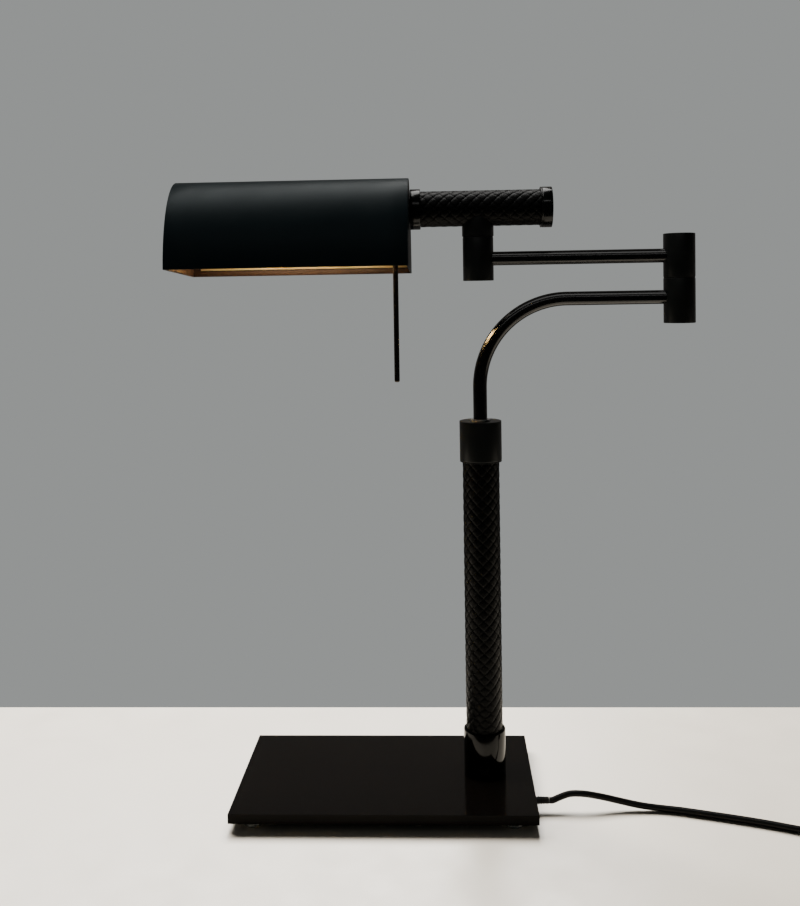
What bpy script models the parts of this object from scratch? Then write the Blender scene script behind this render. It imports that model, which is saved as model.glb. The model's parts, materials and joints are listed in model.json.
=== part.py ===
"""Swing arm desk lamp.

A weighted plate carries a leather-wrapped post. A gooseneck swivels in the
post's head and carries an elbow. A straight upper arm folds back over it to a
head knuckle, which carries a leather-wrapped handle. The trough-shaped shade
tilts about the handle's axis and holds a tube bulb and a pull-rod switch.

The frame: +X along the arms towards the elbow, +Y towards the back, +Z up.
The origin is on the table, at the middle of the lamp's own width and depth.
Run with: blender --background --python part.py
"""

import math

import bmesh
import bpy
from mathutils import Matrix, Vector

MM = 0.001

# Running gap between neighbouring solids
GAP = 0.3 * MM

# Base plate and what is under it
PLATE_LENGTH = 254 * MM
PLATE_DEPTH = 148 * MM
PLATE_THICK = 8 * MM
FOOT_HEIGHT = 5 * MM
FOOT_RADIUS = 8.5 * MM
FOOT_SOLE_RADIUS = 6.5 * MM
FOOT_SHOULDER = 1.6 * MM
FOOT_INSET_X = 19.5 * MM
FOOT_INSET_Y = 10.5 * MM
COVER_INSET = 26 * MM
COVER_THICK = 1 * MM
COVER_SCREW_INSET = 8 * MM
SCREW_HOLE_RADIUS = 1.55 * MM
SCREW_HEAD_RADIUS = 2.7 * MM
SCREW_HEAD_THICK = 1.5 * MM
SCREW_LENGTH = 4.4 * MM
SCREW_HOLE_ROOF = 3 * MM
NUT_RECESS_RADIUS = 12.5 * MM
NUT_RECESS_DEPTH = 4.6 * MM
LEAD_LANE = 22 * MM
POST_TO_PLATE_SIDE = 40.6 * MM

# Post
POST_TUBE_RADIUS = 14.3 * MM
POST_LEATHER_RADIUS = 16 * MM
COLLAR_RADIUS = 18.2 * MM
BOTTOM_COLLAR_TOP = 53.2 * MM
TOP_COLLAR_BOTTOM = 288.9 * MM
TOP_COLLAR_TOP = 324.1 * MM
TOP_COLLAR_CAP = 12 * MM
TIE_RADIUS = 5 * MM
TIE_WALL = 1.5 * MM
TIE_WASHER_RADIUS = 11 * MM
TIE_NUT_RADIUS = 9.2 * MM
TIE_NUT_BORE = 6.2 * MM
TIE_PLUG_LENGTH = 10 * MM
TUBE_WALL = 2 * MM
LEAD_RADIUS = 1.6 * MM

# Bush that the gooseneck turns in
BUSH_NECK_RADIUS = 8 * MM
BUSH_FLANGE_RADIUS = 8.8 * MM
BUSH_FLANGE_THICK = 1.2 * MM
BUSH_DEPTH = 36 * MM
RETAINER_RADIUS = 10 * MM

# Arms
ARM_RADIUS = 6 * MM
ARM_WALL = 1.2 * MM
ARM_LENGTH = 172 * MM
LOWER_ARM_Z = 429 * MM
UPPER_ARM_Z = 464.5 * MM
GOOSENECK_BEND = 76 * MM
GOOSENECK_FOOT = 266 * MM
ARM_SOCKET = 6.5 * MM

# Knuckles
ELBOW_RADIUS = 13.4 * MM
ELBOW_BOTTOM = 406.6 * MM
ELBOW_SPLIT = 445.6 * MM
ELBOW_TOP = 483.2 * MM
HEAD_RADIUS = 13.2 * MM
HEAD_BOTTOM = 445.6 * MM
HEAD_SPLIT = 483.4 * MM
SADDLE_RADIUS = 13.9 * MM
WASHER_THICK = 0.6 * MM
PIVOT_RADIUS = 5 * MM
PIVOT_HEAD_RADIUS = 8 * MM
PIVOT_HEAD_RECESS = 5.4 * MM
PIVOT_ROOF = 7 * MM

# Handle, with x measured from the head knuckle's axis
HANDLE_Z = 508 * MM
HANDLE_LEFT = -58 * MM
HANDLE_RIGHT = 63.4 * MM
HANDLE_INNER_RING = 8.6 * MM
HANDLE_END_CAP = 9.6 * MM
HANDLE_RING_RADIUS = 17.4 * MM
HANDLE_LEATHER_RADIUS = 15.4 * MM
HANDLE_TUBE_RADIUS = 13.8 * MM
HANDLE_TUBE_WALL = 1.6 * MM
SPIGOT_LENGTH = 9 * MM

# What holds the tilt shaft in the handle
TILT_WASHER_RADIUS = 12 * MM
SPRING_WASHER_RADIUS = 8.5 * MM
SPRING_WASHER_THICK = 1.2 * MM
TILT_NUT_RADIUS = 8.6 * MM
TILT_NUT_LENGTH = 4.2 * MM

# Shade, in its own frame: the origin is on the tilt axis
SHADE_LEFT = -261.1 * MM
SHADE_RIGHT = -59 * MM
SHADE_HALF_DEPTH = 51 * MM
SHADE_TOP = 27 * MM
SHADE_HEIGHT = 78.8 * MM
SHEET = 1.2 * MM
LINER = 0.6 * MM
HEM = 5.5 * MM
REST_TILT = math.radians(-2.7)

# Lamp inside the shade
HOLDER_RADIUS = 15.5 * MM
HOLDER_LENGTH = 42 * MM
HOLDER_FLOOR = 14 * MM
CAP_RADIUS = 13.2 * MM
BULB_NECK_RADIUS = 12.5 * MM
BULB_RADIUS = 14.5 * MM
BULB_TIP = -222 * MM
ROD_X = -70 * MM
ROD_Y = -34 * MM
ROD_RADIUS = 2.2 * MM
ROD_BOTTOM = -147.5 * MM
SWITCH_TOP = -19 * MM
SWITCH_BOTTOM = -39 * MM
SWITCH_RADIUS = 6.6 * MM
SWITCH_NECK_RADIUS = 3 * MM
BRACKET_HALF_WIDTH = 6 * MM
BRACKET_REACH = 8 * MM
BRACKET_DROP = 12 * MM

# Cord
CORD_RADIUS = 2.7 * MM
CORD_EXIT_Y = -39 * MM
CORD_EXIT_Z = 8 * MM
COIL_RADIUS = 29.5 * MM
COIL_ROWS = 3
RELIEF_OUT = 11 * MM
RELIEF_IN = 12 * MM

# Worked out from the dimensions above
POST_X = -(SHADE_LEFT + ARM_LENGTH + ELBOW_RADIUS) / 2
PLATE_RIGHT = POST_X + POST_TO_PLATE_SIDE
PLATE_TOP = FOOT_HEIGHT + PLATE_THICK
SHADE_BOTTOM = SHADE_TOP - SHADE_HEIGHT

# The cord's route on the table, by hand: x from the post's axis, y, and height
# of the centre, from the strain relief to the coil.
CORD_ROUTE = [
    (51.9, -39, 8),
    (55, -39, 8.1),
    (62, -36.8, 10),
    (70, -35.2, 11.7),
    (80, -35.4, 11.9),
    (90, -35.8, 10.7),
    (100, -36.2, 8.9),
    (112, -37.3, 6.6),
    (127, -39.2, 4.2),
    (143, -41.2, 2.9),
    (160, -44.8, 2.8),
    (182, -51.3, 2.8),
    (205, -58.4, 2.8),
    (225, -65.2, 2.8),
    (246, -73.6, 2.8),
    (268, -81.8, 2.8),
    (290.5, -90.2, 2.8),
]

# The coil stands on the table, its middle at x from the post's axis and y.
COIL_CENTRE = (305.07, -51.6)

# The cord's tail lies on the coil between these angles, and ends in the plug, whose
# rear end is at x and y from the coil's middle
TAIL_START = math.radians(-92)
TAIL_END = math.radians(-22)
PLUG_REAR = (29.5, -4)
PLUG_LENGTH = 32 * MM
PLUG_WIDTH = 22 * MM
PLUG_THICK = 13 * MM
PIN_LENGTH = 17 * MM
PIN_WIDTH = 6.3 * MM
PIN_THICK = 1.5 * MM
PIN_SPACING = 12.7 * MM


def clear_scene():
    for obj in list(bpy.data.objects):
        bpy.data.objects.remove(obj, do_unlink=True)


def new_collection(name, hidden=False):
    collection = bpy.data.collections.new(name)
    collection.hide_render = hidden
    bpy.context.scene.collection.children.link(collection)
    return collection


def new_material(name, colour, roughness, metallic=0.0, alpha=1.0, glow=0.0):
    """A Principled material, with alpha for what is clear and glow for what is lit."""
    material = bpy.data.materials.new(name)
    material.use_nodes = True
    shader = material.node_tree.nodes["Principled BSDF"]
    shader.inputs["Base Color"].default_value = (*colour, 1.0)
    shader.inputs["Roughness"].default_value = roughness
    shader.inputs["Metallic"].default_value = metallic
    shader.inputs["Alpha"].default_value = alpha
    shader.inputs["Emission Color"].default_value = (*colour, 1.0)
    shader.inputs["Emission Strength"].default_value = glow
    return material


clear_scene()
LAMP = new_collection("swing_arm_desk_lamp")
CUTTERS = new_collection("cutters", hidden=True)

GLOSS_BLACK = new_material("gloss_black", (0.008, 0.008, 0.009), 0.1)
SATIN_BLACK = new_material("satin_black", (0.02, 0.021, 0.023), 0.38, 0.4)
SHADE_BLACK = new_material("shade_black", (0.018, 0.022, 0.027), 0.42, 0.3)
BLACK_LEATHER = new_material("black_leather", (0.012, 0.012, 0.013), 0.45)
GOLD = new_material("gold", (0.83, 0.55, 0.2), 0.3, 1.0)
STEEL = new_material("steel", (0.55, 0.55, 0.56), 0.3, 1.0)
BLACK_NICKEL = new_material("black_nickel", (0.09, 0.08, 0.07), 0.25, 1.0)
BLACK_PLASTIC = new_material("black_plastic", (0.015, 0.015, 0.015), 0.5)
CLEAR_RUBBER = new_material("clear_rubber", (0.8, 0.82, 0.82), 0.2, alpha=0.5)
BULB_GLASS = new_material("bulb_glass", (1.0, 0.78, 0.5), 0.4, glow=3.0)
CORD_BLACK = new_material("cord_black", (0.012, 0.012, 0.012), 0.45)


def pivot(name, location, parent=None, tilt=0.0):
    """An empty on a joint's axis, which carries the pieces that turn about it."""
    empty = bpy.data.objects.new(name, None)
    empty.empty_display_size = 0.02
    LAMP.objects.link(empty)
    empty.parent = parent
    empty.location = location
    empty.rotation_euler = (tilt, 0.0, 0.0)
    return empty


def add(name, mesh, material, parent, at=(0, 0, 0), turn=(0, 0, 0)):
    """Puts a mesh in the lamp as a named piece, placed under its pivot."""
    obj = bpy.data.objects.new(name, mesh)
    LAMP.objects.link(obj)
    obj.parent = parent
    obj.location = at
    obj.rotation_euler = turn
    if mesh.materials:
        return obj
    mesh.materials.append(material)
    return obj


def as_cutter(obj):
    LAMP.objects.unlink(obj)
    CUTTERS.objects.link(obj)
    obj.hide_render = True
    obj.display_type = "WIRE"
    return obj


def cut(target, cutter):
    modifier = target.modifiers.new("cut_" + cutter.name, "BOOLEAN")
    modifier.operation = "DIFFERENCE"
    modifier.solver = "EXACT"
    modifier.object = as_cutter(cutter)


def join(target, other):
    modifier = target.modifiers.new("join_" + other.name, "BOOLEAN")
    modifier.operation = "UNION"
    modifier.solver = "EXACT"
    modifier.object = as_cutter(other)


def bevel(obj, width, segments=1, angle=40):
    modifier = obj.modifiers.new("bevel", "BEVEL")
    modifier.width = width
    modifier.segments = segments
    modifier.limit_method = "ANGLE"
    modifier.angle_limit = math.radians(angle)


def box_mesh(name, low, high):
    """A cube brought to the corners low and high."""
    mesh = bpy.data.meshes.new(name)
    made = bmesh.new()
    bmesh.ops.create_cube(made, size=1.0)
    size = [high[k] - low[k] for k in range(3)]
    middle = [(high[k] + low[k]) / 2 for k in range(3)]
    bmesh.ops.scale(made, vec=size, verts=made.verts)
    bmesh.ops.translate(made, vec=middle, verts=made.verts)
    made.to_mesh(mesh)
    made.free()
    return mesh


def box(name, low, high, material, parent=None):
    return add(name, box_mesh(name, low, high), material, parent)


def rod_cutter(name, parent, start, end, radius, sides=16):
    """A round cutter between two points."""
    start = Vector(start)
    end = Vector(end)
    mesh = bpy.data.meshes.new(name)
    made = bmesh.new()
    bmesh.ops.create_cone(
        made, segments=sides, radius1=radius, radius2=radius,
        depth=(end - start).length, cap_ends=True,
    )
    turn = (end - start).to_track_quat("Z", "Y").to_matrix().to_4x4()
    bmesh.ops.transform(
        made, matrix=Matrix.Translation((start + end) / 2) @ turn, verts=made.verts
    )
    made.to_mesh(mesh)
    made.free()
    return add(name, mesh, STEEL, parent)


def turned(name, profile, material, parent, at=(0, 0, 0), along="Z", steps=24):
    """A profile of (radius, height) points, run down its outer side, turned once.

    A profile that starts and ends on the axis makes a solid; any other is closed
    and makes a ring. along is the world axis that the height runs on.
    """
    solid = profile[0][0] == 0 and profile[-1][0] == 0
    mesh = bpy.data.meshes.new(name)
    made = bmesh.new()
    points = [made.verts.new((radius, 0, height)) for radius, height in profile]
    for first, second in zip(points, points[1:]):
        made.edges.new((first, second))
    if not solid:
        made.edges.new((points[-1], points[0]))
    made.to_mesh(mesh)
    made.free()
    obj = add(name, mesh, material, parent, at)
    if along == "X":
        obj.rotation_euler = (0, math.pi / 2, 0)
    screw = obj.modifiers.new("turn", "SCREW")
    screw.steps = steps
    screw.render_steps = steps
    screw.use_merge_vertices = True
    screw.merge_threshold = 0.00001
    screw.use_smooth_shade = True
    return obj


def ring(outer, inner, top, bottom, chamfer=0.0):
    """The profile of a plain ring, with its outer corners chamfered."""
    if not chamfer:
        return [(outer, top), (outer, bottom), (inner, bottom), (inner, top)]
    return [
        (outer - chamfer, top),
        (outer, top - chamfer),
        (outer, bottom + chamfer),
        (outer - chamfer, bottom),
        (inner, bottom),
        (inner, top),
    ]


def wire(name, points, radius, material, parent, sides=2, wall=0.0):
    """A round bar along points, or a tube where wall is given, as a mesh object."""
    curve = bpy.data.curves.new(name, "CURVE")
    curve.dimensions = "3D"
    curve.bevel_depth = radius
    curve.bevel_resolution = sides
    curve.use_fill_caps = not wall
    spline = curve.splines.new("POLY")
    spline.points.add(len(points) - 1)
    for point, place in zip(spline.points, points):
        point.co = (*place, 1.0)
    obj = bpy.data.objects.new(name, curve)
    LAMP.objects.link(obj)
    obj.parent = parent
    curve.materials.append(material)
    if not wall:
        return obj
    shell = obj.modifiers.new("wall", "SOLIDIFY")
    shell.thickness = wall
    shell.offset = -1.0
    shell.use_even_offset = True
    return obj


def smooth_route(points, steps):
    """Points at even steps on a smooth curve (Catmull-Rom) through the given ones."""
    places = [Vector(p) for p in points]
    places = [2 * places[0] - places[1]] + places + [2 * places[-1] - places[-2]]
    made = []
    for k in range(1, len(places) - 2):
        before, start, end, after = places[k - 1 : k + 3]
        for step in range(steps):
            t = step / steps
            made.append(
                0.5 * (
                    2 * start
                    + (end - before) * t
                    + (2 * before - 5 * start + 4 * end - after) * t**2
                    + (3 * start - before - 3 * end + after) * t**3
                )
            )
    made.append(places[-2])
    return made


def make_base():
    """The plate with its feet and cover, and the groove that the cord lies in."""
    left = PLATE_RIGHT - PLATE_LENGTH
    half = PLATE_DEPTH / 2
    plate = box(
        "base_plate", (left, -half, FOOT_HEIGHT), (PLATE_RIGHT, half, PLATE_TOP),
        GLOSS_BLACK,
    )
    under = FOOT_HEIGHT - 1 * MM
    groove = CORD_RADIUS + 0.4 * MM
    roof = CORD_EXIT_Z + groove
    cut(plate, rod_cutter(
        "post_bore", None, (POST_X, 0, under), (POST_X, 0, PLATE_TOP + MM),
        TIE_RADIUS + GAP,
    ))
    cut(plate, rod_cutter(
        "nut_recess", None, (POST_X, 0, under),
        (POST_X, 0, FOOT_HEIGHT + NUT_RECESS_DEPTH), NUT_RECESS_RADIUS, 24,
    ))
    lane = POST_X + LEAD_LANE
    cut(plate, box(
        "cord_groove_back", (POST_X, -groove, under), (lane + groove, groove, roof),
        STEEL,
    ))
    cut(plate, box(
        "cord_groove_side", (lane - groove, CORD_EXIT_Y - groove, under),
        (lane + groove, 0, roof), STEEL,
    ))
    cut(plate, box(
        "cord_groove_out", (lane - groove, CORD_EXIT_Y - groove, under),
        (PLATE_RIGHT + MM, CORD_EXIT_Y + groove, roof), STEEL,
    ))
    bevel(plate, 0.7 * MM)

    cover_top = FOOT_HEIGHT - GAP
    cover_low = cover_top - COVER_THICK
    cover = box(
        "bottom_cover",
        (left + COVER_INSET, -half + COVER_INSET, cover_low),
        (PLATE_RIGHT - COVER_INSET, half - COVER_INSET, cover_top), SATIN_BLACK,
    )
    inset = COVER_INSET + COVER_SCREW_INSET
    corners = [
        ("front_left", left, -half, 1, 1),
        ("front_right", PLATE_RIGHT, -half, -1, 1),
        ("back_left", left, half, 1, -1),
        ("back_right", PLATE_RIGHT, half, -1, -1),
    ]
    shank = SCREW_HOLE_RADIUS - GAP - 0.05 * MM
    head_low = -SCREW_HEAD_THICK
    foot_top = FOOT_HEIGHT - GAP
    foot_profile = [
        (0, foot_top), (FOOT_RADIUS, foot_top), (FOOT_RADIUS - 0.5 * MM, FOOT_SHOULDER),
        (FOOT_SOLE_RADIUS, 0), (0, 0),
    ]
    screw_profile = [
        (0, SCREW_LENGTH), (shank, SCREW_LENGTH), (shank, -GAP),
        (SCREW_HEAD_RADIUS, -GAP), (SCREW_HEAD_RADIUS - GAP, head_low), (0, head_low),
    ]
    for name, x, y, to_x, to_y in corners:
        turned(
            "foot_" + name, foot_profile, CLEAR_RUBBER, None,
            (x + to_x * FOOT_INSET_X, y + to_y * FOOT_INSET_Y, 0), steps=24,
        )
        hole_x = x + to_x * inset
        hole_y = y + to_y * inset
        for part in (plate, cover):
            cut(part, rod_cutter(
                "hole_" + name + "_" + part.name, None,
                (hole_x, hole_y, cover_low - MM),
                (hole_x, hole_y, PLATE_TOP - SCREW_HOLE_ROOF), SCREW_HOLE_RADIUS, 8,
            ))
        turned(
            "cover_screw_" + name, screw_profile, STEEL, None,
            (hole_x, hole_y, cover_low), steps=12,
        )


def make_post():
    """Tube, leather, collars, and the tie tube that pulls the post to the plate."""
    foot = PLATE_TOP + GAP
    shoulder = TOP_COLLAR_TOP - TOP_COLLAR_CAP
    place = (POST_X, 0, 0)
    turned(
        "post_tube",
        ring(
            POST_TUBE_RADIUS, POST_TUBE_RADIUS - TUBE_WALL, shoulder - GAP, foot
        ),
        STEEL, None, place,
    )
    turned(
        "post_leather",
        ring(
            POST_LEATHER_RADIUS, POST_TUBE_RADIUS + GAP,
            shoulder - 2 * MM, foot + 2 * MM,
        ),
        BLACK_LEATHER, None, place, steps=28,
    )
    bore = POST_LEATHER_RADIUS + GAP
    turned(
        "bottom_collar", ring(COLLAR_RADIUS, bore, BOTTOM_COLLAR_TOP, foot, 0.5 * MM),
        GLOSS_BLACK, None, place, steps=28,
    )
    neck = BUSH_NECK_RADIUS
    turned(
        "top_collar",
        [
            (COLLAR_RADIUS - 0.5 * MM, TOP_COLLAR_TOP),
            (COLLAR_RADIUS, TOP_COLLAR_TOP - 0.5 * MM),
            (COLLAR_RADIUS, TOP_COLLAR_BOTTOM + 0.5 * MM),
            (COLLAR_RADIUS - 0.5 * MM, TOP_COLLAR_BOTTOM),
            (bore, TOP_COLLAR_BOTTOM),
            (bore, shoulder),
            (neck, shoulder),
            (neck, TOP_COLLAR_TOP),
        ],
        SATIN_BLACK, None, place, steps=28,
    )
    bush_top = TOP_COLLAR_TOP + GAP
    bush_low = shoulder - BUSH_DEPTH
    body = POST_TUBE_RADIUS - TUBE_WALL - GAP
    turned(
        "swivel_bush",
        [
            (BUSH_FLANGE_RADIUS, bush_top + BUSH_FLANGE_THICK),
            (BUSH_FLANGE_RADIUS, bush_top),
            (neck - GAP, bush_top),
            (neck - GAP, shoulder - GAP),
            (body, shoulder - GAP),
            (body, bush_low),
            (ARM_RADIUS + GAP, bush_low),
            (ARM_RADIUS + GAP, bush_top + BUSH_FLANGE_THICK),
        ],
        STEEL, None, place,
    )
    tie_low = FOOT_HEIGHT + 0.4 * MM
    nut_top = FOOT_HEIGHT + NUT_RECESS_DEPTH - WASHER_THICK - 2 * GAP
    tie_top = GOOSENECK_FOOT - 10 * MM
    turned(
        "tie_tube", ring(TIE_RADIUS, TIE_RADIUS - TIE_WALL, tie_top, tie_low),
        STEEL, None, place, steps=16,
    )
    turned(
        "tie_washer",
        ring(
            TIE_WASHER_RADIUS, TIE_RADIUS + GAP, nut_top + GAP + WASHER_THICK,
            nut_top + GAP,
        ),
        STEEL, None, place, steps=20,
    )
    turned(
        "tie_nut", ring(TIE_NUT_RADIUS, TIE_NUT_BORE, nut_top, tie_low), STEEL, None,
        place, steps=6,
    )
    plug_top = tie_top - 2 * MM
    turned(
        "tie_plug",
        ring(body, TIE_RADIUS + GAP, plug_top, plug_top - TIE_PLUG_LENGTH),
        STEEL, None, place, steps=20,
    )


def socket_cutter(name, parent, side, height, bottom):
    """The blind bore that an arm's end sits in, on the knuckle's -X or +X side."""
    reach = ELBOW_RADIUS + 2 * MM
    return rod_cutter(
        name, parent, (side * (ELBOW_RADIUS - ARM_SOCKET - GAP), 0, height - bottom),
        (side * reach, 0, height - bottom), ARM_RADIUS + GAP, 20,
    )


def knuckle(name, radius, low, high, arm_z, side, screw_head, parent, material, base):
    """One half of a swivel, with a bore for its pivot and a socket for its arm.

    low and high are its ends and base its parent's height. screw_head is true
    for a half that hides the pivot screw's head in a recess underneath.
    """
    chamfer = 0.5 * MM
    top = high - base
    bottom = low - base
    bore = PIVOT_RADIUS + GAP
    if screw_head:
        recess = PIVOT_HEAD_RADIUS + GAP
        roof = bottom + PIVOT_HEAD_RECESS
        profile = [
            (radius, top),
            (radius, bottom + chamfer),
            (radius - chamfer, bottom),
            (recess, bottom),
            (recess, roof),
            (bore, roof),
            (bore, top),
        ]
    else:
        end = top - PIVOT_ROOF
        profile = [
            (0, top),
            (radius - chamfer, top),
            (radius, top - chamfer),
            (radius, bottom),
            (bore, bottom),
            (bore, end),
            (0, end),
        ]
    half = turned(name, profile, material, parent, steps=28)
    if side:
        cut(half, socket_cutter(name + "_socket", parent, side, arm_z, base))
    return half


def pivot_screw(name, low, high, parent, base):
    """A shoulder screw put in from below, its head in the lower half's recess."""
    head_top = low + PIVOT_HEAD_RECESS - GAP
    head_low = low + 0.8 * MM
    turned(
        name,
        [
            (0, high - base),
            (PIVOT_RADIUS, high - base),
            (PIVOT_RADIUS, head_top - base),
            (PIVOT_HEAD_RADIUS, head_top - base),
            (PIVOT_HEAD_RADIUS, head_low - base),
            (0, head_low - base),
        ],
        STEEL, parent, steps=20,
    )


def gooseneck_points(start, end_x, bend_steps):
    """Up the post's axis, round a quarter circle and level to end_x."""
    centre_z = LOWER_ARM_Z - GOOSENECK_BEND
    points = [(0, 0, start), (0, 0, centre_z - 20 * MM)]
    for step in range(bend_steps + 1):
        angle = math.pi / 2 * step / bend_steps
        points.append((
            GOOSENECK_BEND * (1 - math.cos(angle)), 0,
            centre_z + GOOSENECK_BEND * math.sin(angle),
        ))
    points.append((end_x, 0, LOWER_ARM_Z))
    return points


def make_lower_arm(parent):
    end = ARM_LENGTH - (ELBOW_RADIUS - ARM_SOCKET)
    wire(
        "gooseneck_tube", gooseneck_points(GOOSENECK_FOOT, end, 12), ARM_RADIUS,
        GLOSS_BLACK, parent, sides=4, wall=ARM_WALL,
    )
    wire(
        "lower_arm_lead",
        gooseneck_points(GOOSENECK_FOOT + MM, end - 2 * MM, 6), LEAD_RADIUS,
        CORD_BLACK, parent, sides=1,
    )
    turned(
        "gooseneck_retainer",
        ring(
            RETAINER_RADIUS, ARM_RADIUS + GAP,
            TOP_COLLAR_TOP - TOP_COLLAR_CAP - BUSH_DEPTH - GAP,
            GOOSENECK_FOOT + 2 * MM,
        ),
        STEEL, parent, steps=20,
    )


def make_elbow_lower(parent):
    knuckle(
        "elbow_lower_knuckle", ELBOW_RADIUS, ELBOW_BOTTOM,
        ELBOW_SPLIT - WASHER_THICK / 2 - GAP, LOWER_ARM_Z, -1, True, parent,
        SATIN_BLACK, ELBOW_SPLIT,
    )


def make_upper_arm(parent):
    """The straight arm with its two knuckle halves, hung on the elbow's axis."""
    knuckle(
        "elbow_upper_knuckle", ELBOW_RADIUS, ELBOW_SPLIT + WASHER_THICK / 2 + GAP,
        ELBOW_TOP, UPPER_ARM_Z, -1, False, parent, SATIN_BLACK, ELBOW_SPLIT,
    )
    turned(
        "elbow_washer",
        ring(
            ELBOW_RADIUS - 0.7 * MM, PIVOT_RADIUS + GAP,
            WASHER_THICK / 2, -WASHER_THICK / 2,
        ),
        BLACK_PLASTIC, parent,
    )
    pivot_screw(
        "elbow_pivot_screw", ELBOW_BOTTOM, ELBOW_TOP - PIVOT_ROOF - MM, parent,
        ELBOW_SPLIT,
    )
    height = UPPER_ARM_Z - ELBOW_SPLIT
    near = -(ELBOW_RADIUS - ARM_SOCKET)
    far = -ARM_LENGTH + (ELBOW_RADIUS - ARM_SOCKET)
    wire(
        "upper_arm_tube", [(far, 0, height), (near, 0, height)], ARM_RADIUS,
        GLOSS_BLACK, parent, sides=4, wall=ARM_WALL,
    )
    wire(
        "upper_arm_lead", [(far + MM, 0, height), (near - MM, 0, height)],
        LEAD_RADIUS, CORD_BLACK, parent, sides=1,
    )
    head = pivot("head_lower_seat", (-ARM_LENGTH, 0, 0), parent)
    knuckle(
        "head_lower_knuckle", HEAD_RADIUS, HEAD_BOTTOM,
        HEAD_SPLIT - WASHER_THICK / 2 - GAP, UPPER_ARM_Z, 1, True, head,
        SATIN_BLACK, ELBOW_SPLIT,
    )


def make_handle(parent):
    """The saddle that turns on the head knuckle, and the barrel that it carries."""
    axis = HANDLE_Z - HEAD_SPLIT
    cope = HANDLE_LEATHER_RADIUS + GAP
    saddle = knuckle(
        "head_saddle", SADDLE_RADIUS, HEAD_SPLIT + WASHER_THICK / 2 + GAP,
        HANDLE_Z, 0, 0, False, parent, SATIN_BLACK, HEAD_SPLIT,
    )
    cut(saddle, rod_cutter(
        "saddle_cope", parent, (-25 * MM, 0, axis), (25 * MM, 0, axis), cope, 48
    ))
    turned(
        "head_washer",
        ring(
            HEAD_RADIUS - 0.7 * MM, PIVOT_RADIUS + GAP,
            WASHER_THICK / 2, -WASHER_THICK / 2,
        ),
        BLACK_PLASTIC, parent,
    )
    pivot_screw(
        "head_pivot_screw", HEAD_BOTTOM, HANDLE_Z - cope - 3 * MM, parent, HEAD_SPLIT
    )
    left = HANDLE_LEFT + HANDLE_INNER_RING
    right = HANDLE_RIGHT - HANDLE_END_CAP
    at = (0, 0, axis)
    turned(
        "handle_tube",
        ring(
            HANDLE_TUBE_RADIUS, HANDLE_TUBE_RADIUS - HANDLE_TUBE_WALL,
            right - GAP, left + GAP,
        ),
        STEEL, parent, at, "X",
    )
    turned(
        "handle_leather",
        ring(
            HANDLE_LEATHER_RADIUS, HANDLE_TUBE_RADIUS + GAP, right - GAP, left + GAP
        ),
        BLACK_LEATHER, parent, at, "X", steps=28,
    )
    spigot = HANDLE_TUBE_RADIUS - HANDLE_TUBE_WALL - GAP
    edge = 0.5 * MM
    rim = HANDLE_RING_RADIUS
    lip = rim - 2.2 * MM
    sunk = HANDLE_RIGHT - 1 * MM
    turned(
        "handle_inner_ring",
        [
            (spigot, left + SPIGOT_LENGTH),
            (spigot, left),
            (rim - edge, left),
            (rim, left - edge),
            (rim, HANDLE_LEFT + edge),
            (rim - edge, HANDLE_LEFT),
            (TIE_RADIUS + GAP, HANDLE_LEFT),
            (TIE_RADIUS + GAP, left + SPIGOT_LENGTH),
        ],
        SATIN_BLACK, parent, at, "X", steps=28,
    )
    turned(
        "handle_end_cap",
        [
            (0, sunk),
            (lip, sunk),
            (lip, HANDLE_RIGHT),
            (rim - edge, HANDLE_RIGHT),
            (rim, HANDLE_RIGHT - edge),
            (rim, right + edge),
            (rim - edge, right),
            (spigot, right),
            (spigot, right - SPIGOT_LENGTH),
            (0, right - SPIGOT_LENGTH),
        ],
        SATIN_BLACK, parent, at, "X", steps=28,
    )


def arch(half_width, height, foot, steps):
    """A half ellipse from the front foot over the top to the back foot, as (y, z)."""
    points = []
    for step in range(steps + 1):
        angle = math.pi * step / steps
        points.append((
            -half_width * math.cos(angle), foot + height * math.sin(angle)
        ))
    return points


def trough(name, outer, start, end, thickness, material, parent):
    """A sheet bent over an arch of (y, z) points, from start to end along X."""
    mesh = bpy.data.meshes.new(name)
    made = bmesh.new()
    near = [made.verts.new((start, y, z)) for y, z in outer]
    far = [made.verts.new((end, y, z)) for y, z in outer]
    for k in range(len(outer) - 1):
        made.faces.new((near[k], near[k + 1], far[k + 1], far[k]))
    bmesh.ops.recalc_face_normals(made, faces=made.faces)
    made.faces.ensure_lookup_table()
    if made.faces[len(outer) // 2].normal.z < 0:
        bmesh.ops.reverse_faces(made, faces=made.faces)
    made.to_mesh(mesh)
    made.free()
    mesh.shade_smooth()
    obj = add(name, mesh, material, parent)
    shell = obj.modifiers.new("sheet", "SOLIDIFY")
    shell.thickness = thickness
    shell.offset = -1.0
    shell.use_even_offset = True
    return obj


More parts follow.
